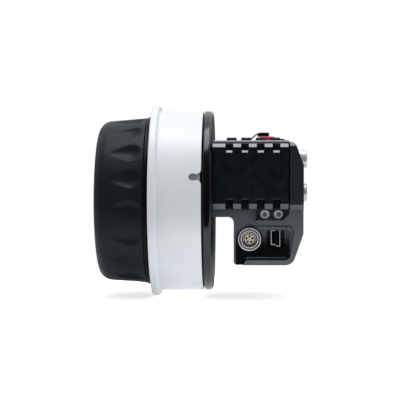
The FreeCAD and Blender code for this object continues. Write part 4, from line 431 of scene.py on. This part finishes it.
def chrome():
    """Bright screw heads, near white and almost matt, their brightness partly painted reflection
    for the chrome; painted shade darkens the hexagon.
    """
    metal = worked_metal("chrome", 0.05, (0.94, 0.94, 0.95), (0.98, 0.98, 0.99),
                         (0.12, 0.20), (1800.0, 0.0005), (0.3, 1.0, 0.3))
    # Painted shade in the hexagon.
    tint_where(metal, inside_box(metal, SCREW_HEX_PAINTED_SHADE), (0.30, 0.30, 0.30))
    return metal


def nickel():
    """Satin plate, with painted shade that darkens it inside the USB shell and in the socket's
    groove.
    """
    metal = worked_metal("nickel", 0.35, (0.80, 0.79, 0.81), (0.86, 0.85, 0.87),
                         (0.18, 0.26), (2200.0, 0.0005), (1.0, 0.3, 1.0))
    # Painted shade in the socket's groove and inside the USB shell.
    tint_where(metal, inside_box(metal, SOCKET_GROOVE_PAINTED_SHADE), (0.03, 0.03, 0.03))
    tint_where(metal, inside_box(metal, USB_INSIDE_PAINTED_SHADE), (0.02, 0.02, 0.02))
    return metal


def gold():
    return worked_metal("gold", 1.0, (0.72, 0.48, 0.17), (0.84, 0.60, 0.26),
                        (0.20, 0.30), (2400.0, 0.002), (1.0, 0.3, 1.0))


def steel():
    return worked_metal("steel", 0.5, (0.38, 0.38, 0.39), (0.50, 0.50, 0.51),
                        (0.28, 0.40), (2600.0, 0.004), (3.0, 0.4, 0.4))


def brass():
    return worked_metal("brass", 0.5, (0.58, 0.42, 0.16), (0.72, 0.54, 0.24),
                        (0.24, 0.36), (2400.0, 0.004), (0.4, 0.4, 3.0))


def insulator():
    plastic = new_finish("insulator", (0.62, 0.54, 0.46), 0.45)
    mottle(plastic, 500.0, (0.57, 0.49, 0.41), (0.66, 0.58, 0.50))
    rough_drift(plastic, 1200.0, 0.40, 0.52)
    grain(plastic, 6000.0, 0.004)
    return plastic


def circuit_board():
    mask = new_finish("circuit_board", (0.012, 0.09, 0.035), 0.3, Coat_Weight=0.3)
    mottle(mask, 700.0, (0.010, 0.07, 0.028), (0.018, 0.12, 0.05))
    rough_drift(mask, 900.0, 0.24, 0.36)
    grain(mask, 2200.0, 0.006)
    return mask


def felt():
    cloth = new_finish("felt", (0.10, 0.10, 0.105), 0.95,
                       Specular_IOR_Level=0.15, Sheen_Weight=0.4)
    mottle(cloth, 1500.0, (0.07, 0.07, 0.075), (0.14, 0.14, 0.145))
    rough_drift(cloth, 2500.0, 0.88, 1.0)
    grain(cloth, 4500.0, 0.08)
    return cloth


FINISHES = {
    "grip_rubber": grip_rubber(),
    "ring_plastic": ring_plastic(),
    "black_anodised": black_anodised(),
    "cover_black": cover_black(),
    "knob_black": knob_black(),
    "disc_black": disc_black(),
    "panel_black": panel_black(),
    "pack_plastic": pack_plastic(),
    "key_rubber": key_rubber(),
    "red_plastic": red_plastic(),
    "gloss_black": gloss_black(),
    "satin_metal": satin_metal(),
    "chrome": chrome(),
    "nickel": nickel(),
    "gold": gold(),
    "steel": steel(),
    "brass": brass(),
    "insulator": insulator(),
    "circuit_board": circuit_board(),
    "felt": felt(),
}
SLOT_OF = {entry["node"]: entry["material_slot"] for entry in frame["record"]["subparts"]}
BODY_OF = {
    node: body
    for body, members in frame["record"]["behaviour"]["bodies"].items()
    for node in members
}

for node, piece in frame["nodes"].items():
    piece.data.materials.clear()
    piece.data.materials.append(FINISHES[SLOT_OF[node]])


# ---------------------------------------------------------------- pieces with softened edges
def pick(piece):
    """Makes one piece the only one that an operator acts on."""
    bpy.ops.object.select_all(action="DESELECT")
    piece.select_set(True)
    bpy.context.view_layer.objects.active = piece


def unpick_mesh(mesh):
    """Leaves no corner, edge or face of a mesh selected."""
    for item in (*mesh.vertices, *mesh.edges, *mesh.polygons):
        item.select = False


def merged_copy(node):
    """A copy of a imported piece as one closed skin, flat faces whole."""
    piece = bpy.data.objects.new(node + "_dressed", frame["nodes"][node].data.copy())
    bpy.context.scene.collection.objects.link(piece)
    pick(piece)
    bpy.ops.mesh.customdata_custom_splitnormals_clear()
    bpy.ops.object.mode_set(mode="EDIT")
    bpy.ops.mesh.select_all(action="SELECT")
    bpy.ops.mesh.remove_doubles(threshold=MERGE_GAP * MM)
    bpy.ops.mesh.mark_sharp(clear=True)
    bpy.ops.mesh.dissolve_limited(angle_limit=math.radians(FLAT_TURN))
    bpy.ops.object.mode_set(mode="OBJECT")
    return piece


def stands_for(piece, node):
    """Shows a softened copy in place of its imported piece."""
    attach(piece, BODY_OF[node])
    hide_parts(node)


def rounded_edges(node, radius):
    """A piece whose every sharp edge is rounded."""
    piece = merged_copy(node)
    bpy.ops.object.shade_smooth_by_angle(angle=math.radians(SHARP_TURN))
    bevel = piece.modifiers.new("rounding", "BEVEL")
    bevel.width = radius * MM
    bevel.segments = EDGE_STEPS
    bevel.limit_method = "ANGLE"
    bevel.angle_limit = math.radians(SHARP_TURN)
    bevel.harden_normals = True
    bpy.ops.object.modifier_apply(modifier=bevel.name)
    stands_for(piece, node)


def soft_rubber(node):
    """A moulded skin: the piece in even small cells, its sharp turns smoothed away."""
    piece = merged_copy(node)
    remesh = piece.modifiers.new("cells", "REMESH")
    remesh.mode = "VOXEL"
    remesh.voxel_size = GRIP_CELL * MM
    remesh.use_smooth_shade = True
    bpy.ops.object.modifier_apply(modifier=remesh.name)
    smooth = piece.modifiers.new("smoothing", "SMOOTH")
    smooth.factor = GRIP_SMOOTHING
    smooth.iterations = GRIP_SMOOTHINGS
    bpy.ops.object.modifier_apply(modifier=smooth.name)
    stands_for(piece, node)


def on_socket_rim(corner):
    """Whether a corner lies on the front of the round socket, outside its bore."""
    at = corner.co / MM
    return (at.y < SOCKET_FRONT_Y + SOCKET_RIM_DEPTH
            and math.hypot(at.x - SOCKET_X, at.z - SOCKET_Z) > SOCKET_BORE_RADIUS)


def rounded_rims(node):
    """The round socket's shell with only its front rims rounded."""
    piece = merged_copy(node)
    mesh = piece.data
    unpick_mesh(mesh)
    for edge in mesh.edges:
        edge.select = all(on_socket_rim(mesh.vertices[end]) for end in edge.vertices)
    bpy.ops.object.mode_set(mode="EDIT")
    bpy.ops.mesh.select_mode(type="EDGE")
    bpy.ops.mesh.bevel(offset=SOCKET_RIM_ROUND * MM, segments=SOCKET_RIM_STEPS,
                       affect="EDGES", clamp_overlap=True)
    bpy.ops.object.mode_set(mode="OBJECT")
    bpy.ops.object.shade_smooth_by_angle(angle=math.radians(SOCKET_TURN))
    stands_for(piece, node)


def on_head_ring(corner, middle, depth):
    """Whether a corner lies on the rim of one screw's head, at a depth."""
    at = corner.co / MM
    inner, outer = SCREW_RIM_RADII
    return (abs(at.y - depth) < SCREW_RING_NEAR
            and inner < math.hypot(at.x - middle, at.z - SCREW_Z) < outer)


def domed_heads(node):
    """Screw heads whose flat rims are drawn back into a round."""
    piece = merged_copy(node)
    mesh = piece.data
    for middle in SCREW_XS:
        for (radius, depth), (new_radius, new_depth) in SCREW_DOME:
            ring = [corner for corner in mesh.vertices if on_head_ring(corner, middle, depth)]
            unpick_mesh(mesh)
            for corner in ring:
                corner.select = True
            bpy.ops.object.mode_set(mode="EDIT")
            bpy.ops.mesh.select_mode(type="VERT")
            grow = new_radius / radius
            bpy.ops.transform.resize(value=(grow, 1.0, grow),
                                     center_override=(middle * MM, 0.0, SCREW_Z * MM))
            bpy.ops.transform.translate(value=(0.0, (new_depth - depth) * MM, 0.0))
            bpy.ops.object.mode_set(mode="OBJECT")
    bpy.ops.object.shade_smooth_by_angle(angle=math.radians(SCREW_TURN))
    stands_for(piece, node)


for node, radius in EDGE_RADII.items():
    rounded_edges(node, radius)
soft_rubber("knob_grip")
rounded_rims("socket_shell")
domed_heads("tray_screws")


# ---------------------------------------------------------------- bench, room, lamp and camera
def floor_glow(tree):
    """White to the eye. To the object, a white bench that is in shade under the knob."""
    to_eye = rays_that_see(tree, "Is Camera Ray", "Is Transmission Ray")
    gloss = maths(tree, "MULTIPLY", rays_that_see(tree, "Is Glossy Ray"), FLOOR_TO_GLOSS)
    matt = rays_that_see(tree, "Is Diffuse Ray")
    to_object = maths(tree, "MULTIPLY_ADD", matt, FLOOR_TO_MATT, gloss)
    shade = ramp_over(tree, axes_of(tree)["X"], KNOB_SHADE_X, KNOB_SHADE_END_X, KNOB_SHADE)
    seen = maths(tree, "MULTIPLY", to_eye, FLOOR_TO_EYE)
    return maths(tree, "MULTIPLY_ADD", to_object, shade, seen)


def pale_floor():
    """A white bench top. Its own glow lifts it to white and leaves the object's soft shadow."""
    bpy.ops.object.select_all(action="DESELECT")
    bpy.ops.mesh.primitive_plane_add(size=1.0, location=(0, 0, 0))
    floor = bpy.context.object
    floor.name = "floor"
    middle = Matrix.Translation((0, (FLOOR_BACK_Y + FLOOR_FRONT_Y) / 2, FLOOR_Z))
    size = Matrix.Diagonal((FLOOR_WIDTH, FLOOR_BACK_Y - FLOOR_FRONT_Y, 1.0, 1.0))
    floor.data.transform(middle @ size)
    paint = new_finish("floor_white", (0.90, 0.90, 0.90), 0.9,
                       Specular_IOR_Level=0.2, Emission_Color=WHITE)
    tree = paint.node_tree
    tree.links.new(floor_glow(tree), shader_of(paint).inputs["Emission Strength"])
    floor.data.materials.append(paint)


def room_glow(tree):
    """White to the eye. To the object, a white room that is dim in front and low down."""
    axes = axes_of(tree, "Generated")
    sweep = ramp_over(tree, axes["Y"], ROOM_FRONT_Y, ROOM_BACK_Y, ROOM_FRONT)
    height = ramp_over(tree, axes["Z"], ROOM_LOW_Z, ROOM_HIGH_Z, ROOM_LOW)
    room = maths(tree, "MULTIPLY", sweep, height)
    gloss = maths(tree, "MULTIPLY", room, rays_that_see(tree, "Is Glossy Ray"))
    matt = maths(tree, "MULTIPLY", rays_that_see(tree, "Is Diffuse Ray"), ROOM_TO_MATT)
    to_object = maths(tree, "MAXIMUM", gloss, matt)
    to_eye = rays_that_see(tree, "Is Camera Ray", "Is Transmission Ray")
    return maths(tree, "MAXIMUM", to_eye, to_object)


def white_room():
    """The world around the bench."""
    world = bpy.data.worlds.new("white_room")
    bpy.context.scene.world = world
    world.use_nodes = True
    tree = world.node_tree
    background = tree.nodes["Background"]
    background.inputs["Color"].default_value = WHITE
    tree.links.new(room_glow(tree), background.inputs["Strength"])


def overhead_lamp():
    """One soft lamp above the object, a little to the front."""
    data = bpy.data.lights.new("overhead", "AREA")
    data.shape = "RECTANGLE"
    data.size, data.size_y = LAMP_SIDES
    data.energy = LAMP_WATTS
    lamp = bpy.data.objects.new("overhead", data)
    bpy.context.scene.collection.objects.link(lamp)
    lamp.location = LAMP_PLACE
    beam = Vector(LAMP_AIM) - Vector(LAMP_PLACE)
    lamp.rotation_euler = beam.to_track_quat("-Z", "Y").to_euler()


def front_camera():
    data = bpy.data.cameras.new("camera")
    data.sensor_width = CAMERA_SENSOR_MM
    data.lens = CAMERA_LENS_MM
    data.clip_start, data.clip_end = CAMERA_NEAR, CAMERA_FAR
    camera = bpy.data.objects.new("camera", data)
    bpy.context.scene.collection.objects.link(camera)
    camera.location = CAMERA_PLACE
    camera.rotation_euler = Vector(CAMERA_LINE).to_track_quat("-Z", "Y").to_euler()
    bpy.context.scene.camera = camera


pale_floor()
white_room()
overhead_lamp()
front_camera()
bpy.context.scene.view_settings.view_transform = "Standard"
